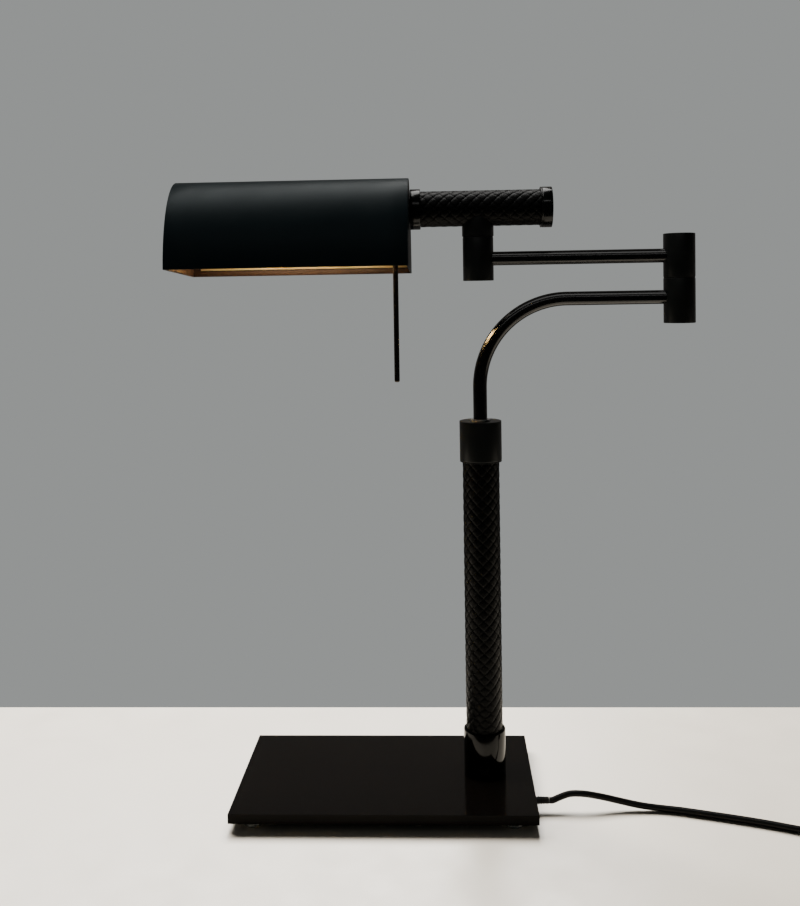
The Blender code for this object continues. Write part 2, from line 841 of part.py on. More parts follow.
def end_plate(name, x, parent):
    """A flat end of the shade, inside the shell, with its outer face at x."""
    inset = SHEET + GAP
    outline = arch(
        SHADE_HALF_DEPTH - inset, SHADE_HEIGHT - inset, SHADE_BOTTOM, 24
    )
    curve = bpy.data.curves.new(name, "CURVE")
    curve.dimensions = "2D"
    curve.fill_mode = "BOTH"
    curve.extrude = SHEET / 2
    spline = curve.splines.new("POLY")
    spline.points.add(len(outline) - 1)
    for point, (y, z) in zip(spline.points, outline):
        point.co = (y, z, 0, 1)
    spline.use_cyclic_u = True
    guide = bpy.data.objects.new(name + "_outline", curve)
    LAMP.objects.link(guide)
    bpy.context.view_layer.update()
    shaped = guide.evaluated_get(bpy.context.evaluated_depsgraph_get())
    mesh = bpy.data.meshes.new_from_object(shaped)
    made = bmesh.new()
    made.from_mesh(mesh)
    bmesh.ops.remove_doubles(made, verts=made.verts, dist=0.00001)
    made.to_mesh(mesh)
    made.free()
    bpy.data.objects.remove(guide, do_unlink=True)
    return add(
        name, mesh, SHADE_BLACK, parent, (x, 0, 0), (math.pi / 2, 0, math.pi / 2)
    )


def make_shade(parent):
    """The shell, its gold liner and its two ends."""
    shell_arch = arch(SHADE_HALF_DEPTH, SHADE_HEIGHT, SHADE_BOTTOM, 28)
    trough(
        "shade_shell", shell_arch, SHADE_LEFT, SHADE_RIGHT, SHEET, SHADE_BLACK, parent
    )
    inset = SHEET + GAP
    lining = [
        (y, max(z, SHADE_BOTTOM + HEM)) for y, z in arch(
            SHADE_HALF_DEPTH - inset, SHADE_HEIGHT - inset, SHADE_BOTTOM, 28
        )
    ]
    ends = SHEET + GAP
    trough(
        "shade_liner", lining, SHADE_LEFT + ends, SHADE_RIGHT - ends, LINER, GOLD,
        parent,
    )
    end_plate("shade_end_plate_left", SHADE_LEFT + SHEET / 2, parent)
    right = end_plate("shade_end_plate_right", SHADE_RIGHT - SHEET / 2, parent)
    cut(right, rod_cutter(
        "tilt_bore", parent, (SHADE_RIGHT - 9 * MM, 0, 0), (SHADE_RIGHT + 9 * MM, 0, 0),
        TIE_RADIUS + GAP,
    ))


def make_tilt_pivot(parent):
    """The hollow shaft that the shade turns on, and what holds it in the handle."""
    spigot_end = HANDLE_LEFT + HANDLE_INNER_RING + SPIGOT_LENGTH
    spring_end = spigot_end + GAP + SPRING_WASHER_THICK
    nut_start = spring_end + GAP
    nut_end = nut_start + TILT_NUT_LENGTH
    shaft_start = SHADE_RIGHT - 10 * MM
    turned(
        "tilt_shaft",
        ring(TIE_RADIUS, TIE_RADIUS - TIE_WALL, nut_end + MM, shaft_start),
        STEEL, parent, (0, 0, 0), "X", steps=16,
    )
    turned(
        "tilt_washer",
        ring(
            TILT_WASHER_RADIUS, TIE_RADIUS + GAP, HANDLE_LEFT - GAP, SHADE_RIGHT + GAP
        ),
        BLACK_PLASTIC, parent, (0, 0, 0), "X", steps=20,
    )
    turned(
        "tilt_spring_washer",
        ring(SPRING_WASHER_RADIUS, TIE_RADIUS + GAP, spring_end, spigot_end + GAP),
        STEEL, parent, (0, 0, 0), "X", steps=16,
    )
    turned(
        "tilt_nut",
        ring(TILT_NUT_RADIUS, TIE_NUT_BORE, nut_end, nut_start),
        STEEL, parent, (0, 0, 0), "X", steps=6,
    )
    wire(
        "shade_lead",
        [(shaft_start + MM, 0, 0), (nut_end, 0, 0), (0, 0, 0)],
        LEAD_RADIUS, CORD_BLACK, parent, sides=1,
    )


def make_lamp(parent):
    """Holder and bulb, lying along the shade."""
    root = SHADE_RIGHT - SHEET - GAP
    mouth = root - HOLDER_LENGTH
    floor = root - HOLDER_FLOOR
    bore = HOLDER_RADIUS - 1.8 * MM
    turned(
        "lamp_holder",
        [
            (HOLDER_RADIUS - 2 * MM, root),
            (HOLDER_RADIUS, root - 2 * MM),
            (HOLDER_RADIUS, mouth),
            (bore, mouth),
            (bore, floor),
            (TIE_RADIUS + GAP, floor),
            (TIE_RADIUS + GAP, root),
        ],
        BLACK_PLASTIC, parent, (0, 0, 0), "X", steps=28,
    )
    neck = mouth - 3 * MM
    contact = floor - MM
    turned(
        "bulb_cap",
        [
            (0, contact),
            (5 * MM, contact),
            (CAP_RADIUS, contact - 5 * MM),
            (CAP_RADIUS, neck),
            (0, neck),
        ],
        STEEL, parent, (0, 0, 0), "X", steps=24,
    )
    dome = 6
    profile = [(0, neck - GAP), (BULB_NECK_RADIUS, neck - GAP)]
    for step in range(dome + 1):
        angle = math.pi / 2 * step / dome
        profile.append((
            BULB_RADIUS * math.cos(angle) if step < dome else 0,
            BULB_TIP + BULB_RADIUS * (1 - math.sin(angle)),
        ))
    profile.insert(2, (BULB_RADIUS, neck - 8 * MM))
    turned(
        "bulb_glass", profile, BULB_GLASS, parent, (0, 0, 0), "X", steps=24
    )


def make_switch(parent):
    """The pull switch on its bracket, at the front of the shade's right end."""
    wall = SHADE_RIGHT - SHEET - GAP
    top = SWITCH_TOP + SHEET + GAP
    front = ROD_Y - BRACKET_HALF_WIDTH
    back = ROD_Y + BRACKET_HALF_WIDTH
    bracket = box(
        "switch_bracket",
        (ROD_X - BRACKET_REACH, front, SWITCH_TOP + GAP), (wall, back, top),
        STEEL, parent,
    )
    join(bracket, box(
        "bracket_tab",
        (wall - SHEET, front, SWITCH_TOP - BRACKET_DROP), (wall, back, top),
        STEEL, parent,
    ))
    neck = SWITCH_NECK_RADIUS
    cut(bracket, rod_cutter(
        "switch_hole", parent, (ROD_X, ROD_Y, SWITCH_TOP - 2 * MM),
        (ROD_X, ROD_Y, top + 2 * MM), neck + GAP,
    ))
    at = (ROD_X, ROD_Y, 0)
    bore = ROD_RADIUS + GAP
    seat = SWITCH_TOP - 4 * MM
    turned(
        "pull_switch_body",
        [
            (0, top + 3 * MM),
            (neck, top + 3 * MM),
            (neck, SWITCH_TOP),
            (SWITCH_RADIUS, SWITCH_TOP),
            (SWITCH_RADIUS, SWITCH_BOTTOM),
            (bore, SWITCH_BOTTOM),
            (bore, seat),
            (0, seat),
        ],
        BLACK_PLASTIC, parent, at, steps=20,
    )


def make_pull_rod(parent):
    """The rod, which reaches into the switch and slides down out of it."""
    top = SWITCH_TOP - 8 * MM
    turned(
        "pull_rod",
        [
            (0, top),
            (ROD_RADIUS, top),
            (ROD_RADIUS, ROD_BOTTOM + 0.6 * MM),
            (ROD_RADIUS - 0.6 * MM, ROD_BOTTOM),
            (0, ROD_BOTTOM),
        ],
        BLACK_NICKEL, parent, steps=16,
    )


def coil_profile():
    """The outside of the coil's section: rows of turns, a diameter apart."""
    half = COIL_ROWS * CORD_RADIUS
    top = 2 * COIL_ROWS * CORD_RADIUS
    return [
        (COIL_RADIUS + half, top),
        (COIL_RADIUS + half, 0.1 * MM),
        (COIL_RADIUS - half, 0.1 * MM),
        (COIL_RADIUS - half, top),
    ]


def make_cord():
    """Strain relief, the free cord, its coil on the table, and the plug."""
    inside = PLATE_RIGHT - RELIEF_IN
    outside = PLATE_RIGHT + RELIEF_OUT
    root = CORD_RADIUS + 0.1 * MM
    turned(
        "cord_strain_relief",
        [
            (0, outside),
            (CORD_RADIUS, outside),
            (root, PLATE_RIGHT + GAP),
            (root, inside),
            (0, inside),
        ],
        BLACK_PLASTIC, None, (0, CORD_EXIT_Y, CORD_EXIT_Z), "X", steps=12,
    )
    lane = POST_X + LEAD_LANE
    turn = 3 * MM
    wire(
        "base_lead",
        [
            (inside - GAP, CORD_EXIT_Y, CORD_EXIT_Z),
            (lane + turn, CORD_EXIT_Y, CORD_EXIT_Z),
            (lane, CORD_EXIT_Y + turn, CORD_EXIT_Z),
            (lane, -turn, CORD_EXIT_Z),
            (lane - turn, 0, CORD_EXIT_Z),
            (POST_X + NUT_RECESS_RADIUS, 0, CORD_EXIT_Z),
        ],
        LEAD_RADIUS, CORD_BLACK, None, sides=1,
    )
    route = [
        (POST_X + x * MM, y * MM, z * MM) for x, y, z in CORD_ROUTE
    ]
    middle_x = POST_X + COIL_CENTRE[0] * MM
    middle_y = COIL_CENTRE[1] * MM
    path = smooth_route(route, 4)
    wire("flex_cord", path, CORD_RADIUS, CORD_BLACK, None, sides=2)
    turned(
        "cord_coil", coil_profile(), CORD_BLACK, None, (middle_x, middle_y, 0),
        steps=28,
    )
    make_plug(middle_x, middle_y)


def make_plug(middle_x, middle_y):
    """The plug on top of the coil, its two pins, and the cord's last stretch."""
    coil_top = 2 * COIL_ROWS * CORD_RADIUS
    rear_x = middle_x + PLUG_REAR[0] * MM
    rear_y = middle_y + PLUG_REAR[1] * MM
    low = coil_top + GAP
    height = low + PLUG_THICK / 2
    tail = []
    steps = 8
    for step in range(steps + 1):
        share = step / steps
        angle = TAIL_START + (TAIL_END - TAIL_START) * share
        tail.append((
            middle_x + COIL_RADIUS * math.cos(angle),
            middle_y + COIL_RADIUS * math.sin(angle),
            low + CORD_RADIUS + (height - low - CORD_RADIUS) * share**2,
        ))
    tail.append((rear_x - 0.2 * MM, rear_y - 3 * MM, height))
    tail.append((rear_x, rear_y - 2 * GAP, height))
    wire("cord_tail", tail, CORD_RADIUS, CORD_BLACK, None, sides=2)
    body = box(
        "plug_body", (rear_x - PLUG_WIDTH / 2, rear_y, low),
        (rear_x + PLUG_WIDTH / 2, rear_y + PLUG_LENGTH, low + PLUG_THICK),
        BLACK_PLASTIC,
    )
    bevel(body, 3 * MM, 2)
    for name, side in (("left", -1), ("right", 1)):
        pin_x = rear_x + side * PIN_SPACING / 2
        front = rear_y + PLUG_LENGTH + GAP
        box(
            "plug_pin_" + name,
            (pin_x - PIN_THICK / 2, front, height - PIN_WIDTH / 2),
            (pin_x + PIN_THICK / 2, front + PIN_LENGTH, height + PIN_WIDTH / 2),
            STEEL,
        )


def make_all():
    make_base()
    make_post()
    post_pivot = pivot("post_pivot", (POST_X, 0, 0))
    make_lower_arm(post_pivot)
    elbow_pivot = pivot("elbow_pivot", (ARM_LENGTH, 0, ELBOW_SPLIT), post_pivot)
    make_elbow_lower(elbow_pivot)
    make_upper_arm(elbow_pivot)
    rise = HEAD_SPLIT - ELBOW_SPLIT
    head_pivot = pivot("head_pivot", (-ARM_LENGTH, 0, rise), elbow_pivot)
    make_handle(head_pivot)
    tilt_pivot = pivot(
        "tilt_pivot", (0, 0, HANDLE_Z - HEAD_SPLIT), head_pivot, REST_TILT
    )
    make_shade(tilt_pivot)
    make_tilt_pivot(tilt_pivot)
    make_lamp(tilt_pivot)
    make_switch(tilt_pivot)
    switch_pivot = pivot("switch_pivot", (ROD_X, ROD_Y, 0), tilt_pivot)
    make_pull_rod(switch_pivot)
    make_cord()


make_all()
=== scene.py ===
"""The looks of the swing arm desk lamp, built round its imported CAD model.

Lengths are in metres, in the CAD model's frame: +X along the arms towards the
elbow, +Y towards the back, +Z up. The shade's pieces are made in the shade's own
frame, whose origin is on the tilt axis, and are then turned into place.
"""

import json
import math

import bmesh
import bpy
from mathutils import Matrix, Vector


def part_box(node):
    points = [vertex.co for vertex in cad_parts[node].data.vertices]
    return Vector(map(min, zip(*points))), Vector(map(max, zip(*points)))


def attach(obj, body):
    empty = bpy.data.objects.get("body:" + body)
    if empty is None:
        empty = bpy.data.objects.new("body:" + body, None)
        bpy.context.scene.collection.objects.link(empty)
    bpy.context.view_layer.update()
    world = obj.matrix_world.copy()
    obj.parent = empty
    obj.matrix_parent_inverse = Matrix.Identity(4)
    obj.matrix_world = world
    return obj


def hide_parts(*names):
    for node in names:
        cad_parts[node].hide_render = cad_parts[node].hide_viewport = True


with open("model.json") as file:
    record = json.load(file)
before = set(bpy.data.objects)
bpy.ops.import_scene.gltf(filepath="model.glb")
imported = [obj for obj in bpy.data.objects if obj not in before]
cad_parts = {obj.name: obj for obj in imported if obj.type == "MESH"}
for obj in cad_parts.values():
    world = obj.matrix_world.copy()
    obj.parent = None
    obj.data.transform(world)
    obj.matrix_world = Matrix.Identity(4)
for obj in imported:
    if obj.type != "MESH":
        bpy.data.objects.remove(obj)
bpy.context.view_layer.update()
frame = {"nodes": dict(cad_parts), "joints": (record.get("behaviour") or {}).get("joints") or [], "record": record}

MM = 0.001
# The gap that the CAD model leaves between neighbouring solids
GAP = 0.3 * MM
# The lead's way through the knuckles, washers, saddle, ring and holder
LEAD_BORE = 5.3 * MM
JOINTS = {joint["name"]: joint for joint in frame["joints"]}

# Camera
CAMERA_PLACE = (0.00532, -0.87908, 0.43781)
CAMERA_YAW = 2.35
CAMERA_DROP = 2.192
CAMERA_ROLL = -0.964
CAMERA_LENS = 40.25
CAMERA_SHIFT = -0.1359

# The room's colour as the camera sees it, and what it casts on the lamp from its
# dark front and from its paler back
ROOM_SEEN = (0.31, 0.322, 0.318)
ROOM_FRONT = (0.022, 0.024, 0.024)
ROOM_BACK = (0.15, 0.14, 0.13)
# How far round towards the back the room has turned to its paler colour
ROOM_FADE = 0.7

# Table top, whose upper face is a hair below the feet
TABLE_SIZE = (2.8, 0.46, 0.03)
TABLE_CENTRE = (0, -0.06, -0.0151)

# Each light's place, the point it faces, its size and its power
LIGHTS = {
    "ceiling": ((-0.28, 0.17, 1.75), (0.02, -0.18, 0.4), (1.7, 0.7), 23),
    "front_strip": ((-0.2, -2.4, 2.0), (0, 0, 0.45), (2.6, 0.14), 4.5),
    "arm_light": ((-0.1, -0.4, 1.75), (0, 0, 0.45), (2.2, 0.5), 7),
    "table_light": ((-0.5, 1.5, 1.4), (0, 0, 0), (2.0, 0.8), 172),
}
LIGHT_COLOUR = (1.0, 0.985, 0.96)

# Places that several pieces share
POST_X = JOINTS["post_swivel"]["pos_m"][0]
PLATE_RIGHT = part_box("base_plate")[1].x
TILT_AXIS = Vector(JOINTS["shade_tilt"]["pos_m"])
REST_TILT = math.radians(-2.7)
SHADE_FRAME = Matrix.Translation(TILT_AXIS) @ Matrix.Rotation(REST_TILT, 4, "X")
ALONG_X = Matrix.Rotation(math.pi / 2, 4, "Y")

# Cord: its route (x from the post's axis, y, height of its centre), and
# the coil that it ends in
CORD_RADIUS = 2.7 * MM
CORD_ROUTE = [
    (51.9, -39, 8),
    (55, -39, 8.1),
    (62, -36.8, 10),
    (70, -35.2, 11.7),
    (80, -35.4, 11.9),
    (90, -35.8, 10.7),
    (100, -36.2, 8.9),
    (112, -37.3, 6.6),
    (127, -39.2, 4.2),
    (143, -41.2, 2.9),
    (160, -44.8, 2.8),
    (182, -51.3, 2.8),
    (205, -58.4, 2.8),
    (225, -65.2, 2.8),
    (246, -73.6, 2.8),
    (268, -81.8, 2.8),
    (290.5, -90.2, 2.8),
]
COIL_CENTRE = (305.07, -51.6)
COIL_RADIUS = 29.5 * MM
TURN_STEP = 2 * CORD_RADIUS
COIL_LIFT = 0.2 * MM
# Where the turns move in or out by one place, and up by one, in degrees wound
# since the coil's start: each shift is (from, to, number of places)
COIL_SHIFTS = [
    (330, 420, -1), (690, 780, -1),
    (1270, 1360, 1), (1630, 1720, 1),
    (2190, 2280, -1), (2550, 2640, -1),
]
COIL_CLIMBS = [(985, 1065), (1915, 2000)]
TAIL_START = -92
TAIL_SWEEP = 70
PLUG_REAR = (29.5, -4)


# ---------------------------------------------------------------- stage


def make_camera():
    data = bpy.data.cameras.new("camera")
    data.lens = CAMERA_LENS
    data.shift_y = CAMERA_SHIFT
    camera = bpy.data.objects.new("camera", data)
    bpy.context.scene.collection.objects.link(camera)
    turn = (
        Matrix.Rotation(math.radians(CAMERA_YAW), 4, "Z")
        @ Matrix.Rotation(math.radians(90 - CAMERA_DROP), 4, "X")
        @ Matrix.Rotation(math.radians(CAMERA_ROLL), 4, "Z")
    )
    camera.matrix_world = Matrix.Translation(CAMERA_PLACE) @ turn
    bpy.context.scene.camera = camera


def make_light(name, place, target, size, power):
    """A rectangular area light that faces target."""
    data = bpy.data.lights.new(name, "AREA")
    data.shape = "RECTANGLE"
    data.size, data.size_y = size
    data.energy = power
    data.color = LIGHT_COLOUR
    light = bpy.data.objects.new(name, data)
    bpy.context.scene.collection.objects.link(light)
    light.location = place
    aim = Vector(target) - Vector(place)
    light.rotation_euler = aim.to_track_quat("-Z", "Y").to_euler()


def make_stage():
    """A pale table top, a grey room that gives little light, and four lights."""
    world = bpy.data.worlds.new("room")
    bpy.context.scene.world = world
    world.use_nodes = True
    tree = world.node_tree
    place = tree.nodes.new("ShaderNodeTexCoord").outputs["Generated"]
    sides = add_node(tree, "ShaderNodeSeparateXYZ", {0: place}).outputs
    cast = tone(tree, sides["Y"], ROOM_FRONT, ROOM_BACK, 0.0, ROOM_FADE)
    seen = tree.nodes.new("ShaderNodeLightPath").outputs["Is Camera Ray"]
    colour = add_node(
        tree, "ShaderNodeMix", {0: seen, 6: cast, 7: (*ROOM_SEEN, 1)}, data_type="RGBA"
    ).outputs[2]
    tree.links.new(colour, tree.nodes["Background"].inputs["Color"])

    made = bmesh.new()
    bmesh.ops.create_cube(made, size=1.0)
    bmesh.ops.scale(made, vec=TABLE_SIZE, verts=made.verts)
    bmesh.ops.translate(made, vec=TABLE_CENTRE, verts=made.verts)
    mesh = bpy.data.meshes.new("table_top")
    made.to_mesh(mesh)
    made.free()
    table = bpy.data.objects.new("table_top", mesh)
    bpy.context.scene.collection.objects.link(table)
    mesh.materials.append(pale_table())

    for name, values in LIGHTS.items():
        make_light(name, *values)


def link_light(light, state, *names):
    """Keeps a light to the named objects (INCLUDE) or off them (EXCLUDE)."""
    linked = bpy.data.collections.new(light + "_receivers")
    for name in names:
        linked.objects.link(bpy.data.objects[name])
    for entry in linked.collection_objects:
        entry.light_linking.link_state = state
    bpy.data.objects[light].light_linking.receiver_collection = linked


def link_lights():
    tubes = ("gooseneck_bent", "upper_arm_straight")
    link_light("ceiling", "EXCLUDE", "table_top", *tubes)
    link_light("front_strip", "EXCLUDE", "table_top")
    link_light("arm_light", "INCLUDE", *tubes)
    link_light("table_light", "INCLUDE", "table_top")
    link_light(
        "bulb_envelope", "INCLUDE", "shade_trough", "shade_reflector", "shade_end_left",
        "shade_end_right", "lamp_holder_ribbed", "pull_rod_turned", "base_plate",
    )
    # Keeps the reflector's warm glow off the table
    bpy.data.objects["shade_reflector"].visible_diffuse = False


# ---------------------------------------------------------------- materials


def add_node(tree, kind, inputs, **settings):
    """A node with its settings, and its inputs as values or as links."""
    made = tree.nodes.new(kind)
    for setting, value in settings.items():
        setattr(made, setting, value)
    for socket, value in inputs.items():
        if isinstance(value, bpy.types.NodeSocket):
            tree.links.new(value, made.inputs[socket])
        else:
            made.inputs[socket].default_value = value
    return made


def new_material(name, values):
    """A material, its node tree, its Principled shader and its object coordinates."""
    material = bpy.data.materials.new(name)
    material.use_nodes = True
    tree = material.node_tree
    shader = tree.nodes["Principled BSDF"]
    for socket, value in values.items():
        shader.inputs[socket].default_value = value
    place = tree.nodes.new("ShaderNodeTexCoord").outputs["Object"]
    return material, tree, shader, place


def noise(tree, place, scale, detail=3.0, stretch=(1, 1, 1)):
    """Noise with features 1 / scale metres wide, longer where stretch is under 1."""
    mapped = add_node(
        tree, "ShaderNodeMapping", {"Vector": place, "Scale": stretch}
    ).outputs["Vector"]
    return add_node(
        tree, "ShaderNodeTexNoise",
        {"Vector": mapped, "Scale": scale, "Detail": detail},
    ).outputs["Fac"]


def cells(tree, place, scale):
    return add_node(
        tree, "ShaderNodeTexVoronoi", {"Vector": place, "Scale": scale},
        feature="SMOOTH_F1",
    ).outputs["Distance"]


def tone(tree, factor, dark, light, low=0.3, high=0.7):
    """A colour from dark to light as factor goes from low to high."""
    share = span(tree, factor, 0.0, 1.0, low, high)
    return add_node(
        tree, "ShaderNodeMix", {0: share, 6: (*dark, 1), 7: (*light, 1)},
        data_type="RGBA",
    ).outputs[2]


def span(tree, factor, low, high, start=0.3, end=0.7):
    """A number from low to high as factor goes from start to end."""
    return add_node(
        tree, "ShaderNodeMapRange",
        {"Value": factor, "From Min": start, "From Max": end,
         "To Min": low, "To Max": high},
    ).outputs["Result"]


def relief(tree, shader, heights, strength, distance):
    """Bump from one height or several, each given with its share."""
    total = None
    for height, share in heights:
        part = add_node(
            tree, "ShaderNodeMath", {0: height, 1: share}, operation="MULTIPLY"
        ).outputs[0]
        total = part if total is None else add_node(
            tree, "ShaderNodeMath", {0: total, 1: part}, operation="ADD"
        ).outputs[0]
    bump = add_node(
        tree, "ShaderNodeBump",
        {"Height": total, "Strength": strength, "Distance": distance},
    )
    tree.links.new(bump.outputs["Normal"], shader.inputs["Normal"])


def surface(
    name, values, colours, roughs, scale, bumps=(), depth=0.0, stretch=(1, 1, 1)
):
    """A material whose colour and roughness wander, with fine bump.

    colours are its dark and light tone, roughs its lowest and highest roughness,
    scale the size of the wandering, and bumps are (scale, share) of fine noises.
    """
    material, tree, shader, place = new_material(name, values)
    cloud = noise(tree, place, scale, 4.0, stretch)
    smear = noise(tree, place, scale * 3.1, 5.0, stretch)
    tree.links.new(tone(tree, cloud, *colours), shader.inputs["Base Color"])
    tree.links.new(span(tree, smear, *roughs), shader.inputs["Roughness"])
    if bumps:
        heights = [
            (noise(tree, place, fine, 3.0, stretch), share) for fine, share in bumps
        ]
        relief(tree, shader, heights, 1.0, depth)
    return material


def pale_table():
    return surface(
        "pale_table", {"Specular IOR Level": 0.35},
        ((0.87, 0.79, 0.66), (0.90, 0.82, 0.69)), (0.34, 0.46), 9,
        [(700, 1.0)], 0.03 * MM,
    )


def gloss_black():
    """Deep black lacquer, with a trace of orange peel and of wiping."""
    return surface(
        "gloss_black_lacquer",
        {"Specular IOR Level": 0.24},
        ((0.0008, 0.0008, 0.0007), (0.0014, 0.0013, 0.0012)), (0.07, 0.14), 26,
        [(210, 1.0), (900, 0.15)], 0.012 * MM,
    )


def tube_lacquer():
    """The arm tubes' lacquer, which is duller and spreads what it reflects."""
    return surface(
        "tube_lacquer", {"Specular IOR Level": 0.5},
        ((0.0008, 0.0008, 0.0007), (0.0014, 0.0013, 0.0012)), (0.16, 0.24), 26,
        [(900, 1.0)], 0.012 * MM,
    )


def plate_lacquer():
    """The plate's lacquer: a little brown, with painted shade on its sides, where a darker specular tint dims
    their reflection.
    """
    material = surface(
        "plate_lacquer", {"Specular IOR Level": 0.2},
        ((0.0040, 0.0032, 0.0026), (0.0052, 0.0042, 0.0034)), (0.08, 0.16), 26,
        [(210, 1.0), (900, 0.15)], 0.012 * MM,
    )
    tree = material.node_tree
    facing = tree.nodes.new("ShaderNodeTexCoord").outputs["Normal"]
    upward = add_node(tree, "ShaderNodeSeparateXYZ", {0: facing}).outputs["Z"]
    # Painted shade: the specular tint falls to 0.16 on faces that don't face up, so the plate's sides reflect less
    tree.links.new(
        tone(tree, upward, (0.16, 0.16, 0.16), (1.0, 1.0, 1.0), 0.5, 0.9),
        tree.nodes["Principled BSDF"].inputs["Specular Tint"],
    )
    return material


def satin_black():
    """Black anodised metal with the fine rings that a lathe leaves. Its colour carries painted light: it is about
    three times lighter than the turned copy's.
    """
    return surface(
        "satin_black_metal", {"Specular IOR Level": 0.2},
        # Painted light: about three times the turned copy's colour, to brighten the collar, knuckles and saddle
        ((0.0062, 0.0074, 0.0072), (0.0090, 0.0104, 0.0100)), (0.3, 0.4), 60,
        [(900, 1.0)], 0.02 * MM, (0.12, 0.12, 1.0),
    )


def satin_black_along_x():
    """The same black metal on what is turned about the handle's axis: glossier, and darker, as it carries none of
    the other copy's painted light.
    """
    return surface(
        "satin_black_metal_turned", {"Specular IOR Level": 0.26},
        ((0.0016, 0.0018, 0.0018), (0.0030, 0.0033, 0.0033)), (0.15, 0.24), 60,
        [(900, 1.0)], 0.02 * MM, (1.0, 0.12, 0.12),
    )


def powder_coat():
    """Fine satin powder coat, blue-black."""
    return surface(
        "satin_powder_coat",
        {"Specular IOR Level": 0.08, "Specular Tint": (0.82, 0.98, 1.0, 1.0)},
        ((0.0028, 0.0070, 0.0090), (0.0036, 0.0086, 0.0108)), (0.37, 0.44), 14,
        [(2600, 1.0), (1100, 0.5)], 0.03 * MM,
    )


def leather():
    """Polished black strap leather: pebbled, with creases and a little wear."""
    material, tree, shader, place = new_material(
        "black_leather", {"Specular IOR Level": 0.1}
    )
    pebble = cells(tree, place, 1300)
    creases = noise(tree, place, 420, 6.0)
    wear = noise(tree, place, 70, 3.0)
    pores = noise(tree, place, 4200, 2.0)
    tree.links.new(
        tone(tree, wear, (0.0008, 0.0009, 0.0009), (0.0022, 0.0023, 0.0022)),
        shader.inputs["Base Color"],
    )
    tree.links.new(span(tree, creases, 0.3, 0.5), shader.inputs["Roughness"])
    relief(tree, shader, [(pebble, 1.0), (creases, 0.8), (pores, 0.2)], 1.0, 0.11 * MM)
    return material


def leather_edge():
    """The strips' cut edges: dry, matt, and a shade browner."""
    return surface(
        "leather_cut_edge", {"Specular IOR Level": 0.2},
        ((0.0016, 0.0015, 0.0014), (0.0034, 0.003, 0.0028)), (0.75, 0.9), 300,
        [(3000, 1.0)], 0.08 * MM,
    )


def gold():
    """Satin gold sheet, brushed along the shade."""
    return surface(
        "gold_reflector", {"Metallic": 1.0},
        ((0.86, 0.62, 0.28), (0.94, 0.72, 0.36)), (0.24, 0.38), 40,
        [(1200, 1.0)], 0.01 * MM, (0.04, 1.0, 1.0),
    )


def dark_bronze():
    """The bare inner face of the shell's hem."""
    return surface(
        "dark_bronze", {"Specular IOR Level": 0.1},
        ((0.0030, 0.0011, 0.0005), (0.0055, 0.0022, 0.0010)), (0.4, 0.55), 50,
        [(1000, 1.0)], 0.01 * MM, (0.05, 1.0, 1.0),
    )


def steel():
    return surface(
        "plain_steel", {"Metallic": 1.0},
        ((0.42, 0.42, 0.43), (0.58, 0.58, 0.59)), (0.22, 0.38), 90,
        [(1500, 1.0)], 0.01 * MM,
    )


def black_nickel():
    return surface(
        "black_nickel_plate", {"Metallic": 1.0},
        ((0.050, 0.040, 0.034), (0.085, 0.070, 0.060)), (0.2, 0.3), 120,
        [(2200, 1.0)], 0.006 * MM, (1.0, 1.0, 0.08),
    )


def black_plastic():
    return surface(
        "moulded_black", {"Specular IOR Level": 0.2},
        ((0.0045, 0.0045, 0.0045), (0.008, 0.008, 0.008)), (0.42, 0.58), 40,
        [(2400, 1.0)], 0.05 * MM,
    )


def clear_rubber():
    """Clear soft bumpers, a little cloudy."""
    return surface(
        "clear_rubber", {"Transmission Weight": 0.85, "IOR": 1.45},
        ((0.72, 0.75, 0.74), (0.86, 0.88, 0.87)), (0.12, 0.28), 200,
        [(900, 1.0)], 0.02 * MM,
    )


def lit_glass():
    """Frosted glass, lit warm from inside, its glow wandering a little from place to place."""
    material, tree, shader, place = new_material(
        "frosted_lit_glass", {"Emission Color": (1.0, 0.85, 0.6, 1.0)}
    )
    frost = noise(tree, place, 900, 4.0)
    tree.links.new(
        tone(tree, frost, (0.86, 0.80, 0.72), (0.93, 0.88, 0.80)),
        shader.inputs["Base Color"],
    )
    tree.links.new(span(tree, frost, 0.42, 0.6), shader.inputs["Roughness"])
    glow = noise(tree, place, 30, 2.0)
    tree.links.new(
        span(tree, glow, 0.85 * BULB_GLOW, 1.1 * BULB_GLOW),
        shader.inputs["Emission Strength"],
    )
    return material


def cord_sheath():
    """Smooth black cord sheath with faint dust."""
    return surface(
        "black_cord_sheath", {"Specular IOR Level": 0.14},
        ((0.0022, 0.0022, 0.0020), (0.0040, 0.0040, 0.0037)), (0.3, 0.42), 60,
        [(1800, 1.0)], 0.025 * MM,
    )


BULB_GLOW = 140.0

MATERIALS = {
    "gloss_black_metal": gloss_black(),
    "plate_lacquer": plate_lacquer(),
    "tube_lacquer": tube_lacquer(),
    "satin_black_metal": satin_black(),
    "satin_black_turned": satin_black_along_x(),
    "shade_paint": powder_coat(),
    "black_leather": leather(),
    "leather_edge": leather_edge(),
    "gold_reflector": gold(),
    "dark_bronze": dark_bronze(),
    "steel": steel(),
    "black_nickel": black_nickel(),
    "black_plastic": black_plastic(),
    "clear_rubber": clear_rubber(),
    "frosted_glass": lit_glass(),
    "black_cord": cord_sheath(),
}


# ---------------------------------------------------------------- mesh tools


def new_object(name, made, *materials):
    """An object from a bmesh, which it frees."""
    mesh = bpy.data.meshes.new(name)
    bmesh.ops.recalc_face_normals(made, faces=made.faces)
    made.to_mesh(mesh)
    made.free()
    obj = bpy.data.objects.new(name, mesh)
    bpy.context.scene.collection.objects.link(obj)
    for material in materials:
        mesh.materials.append(MATERIALS[material])
    return obj


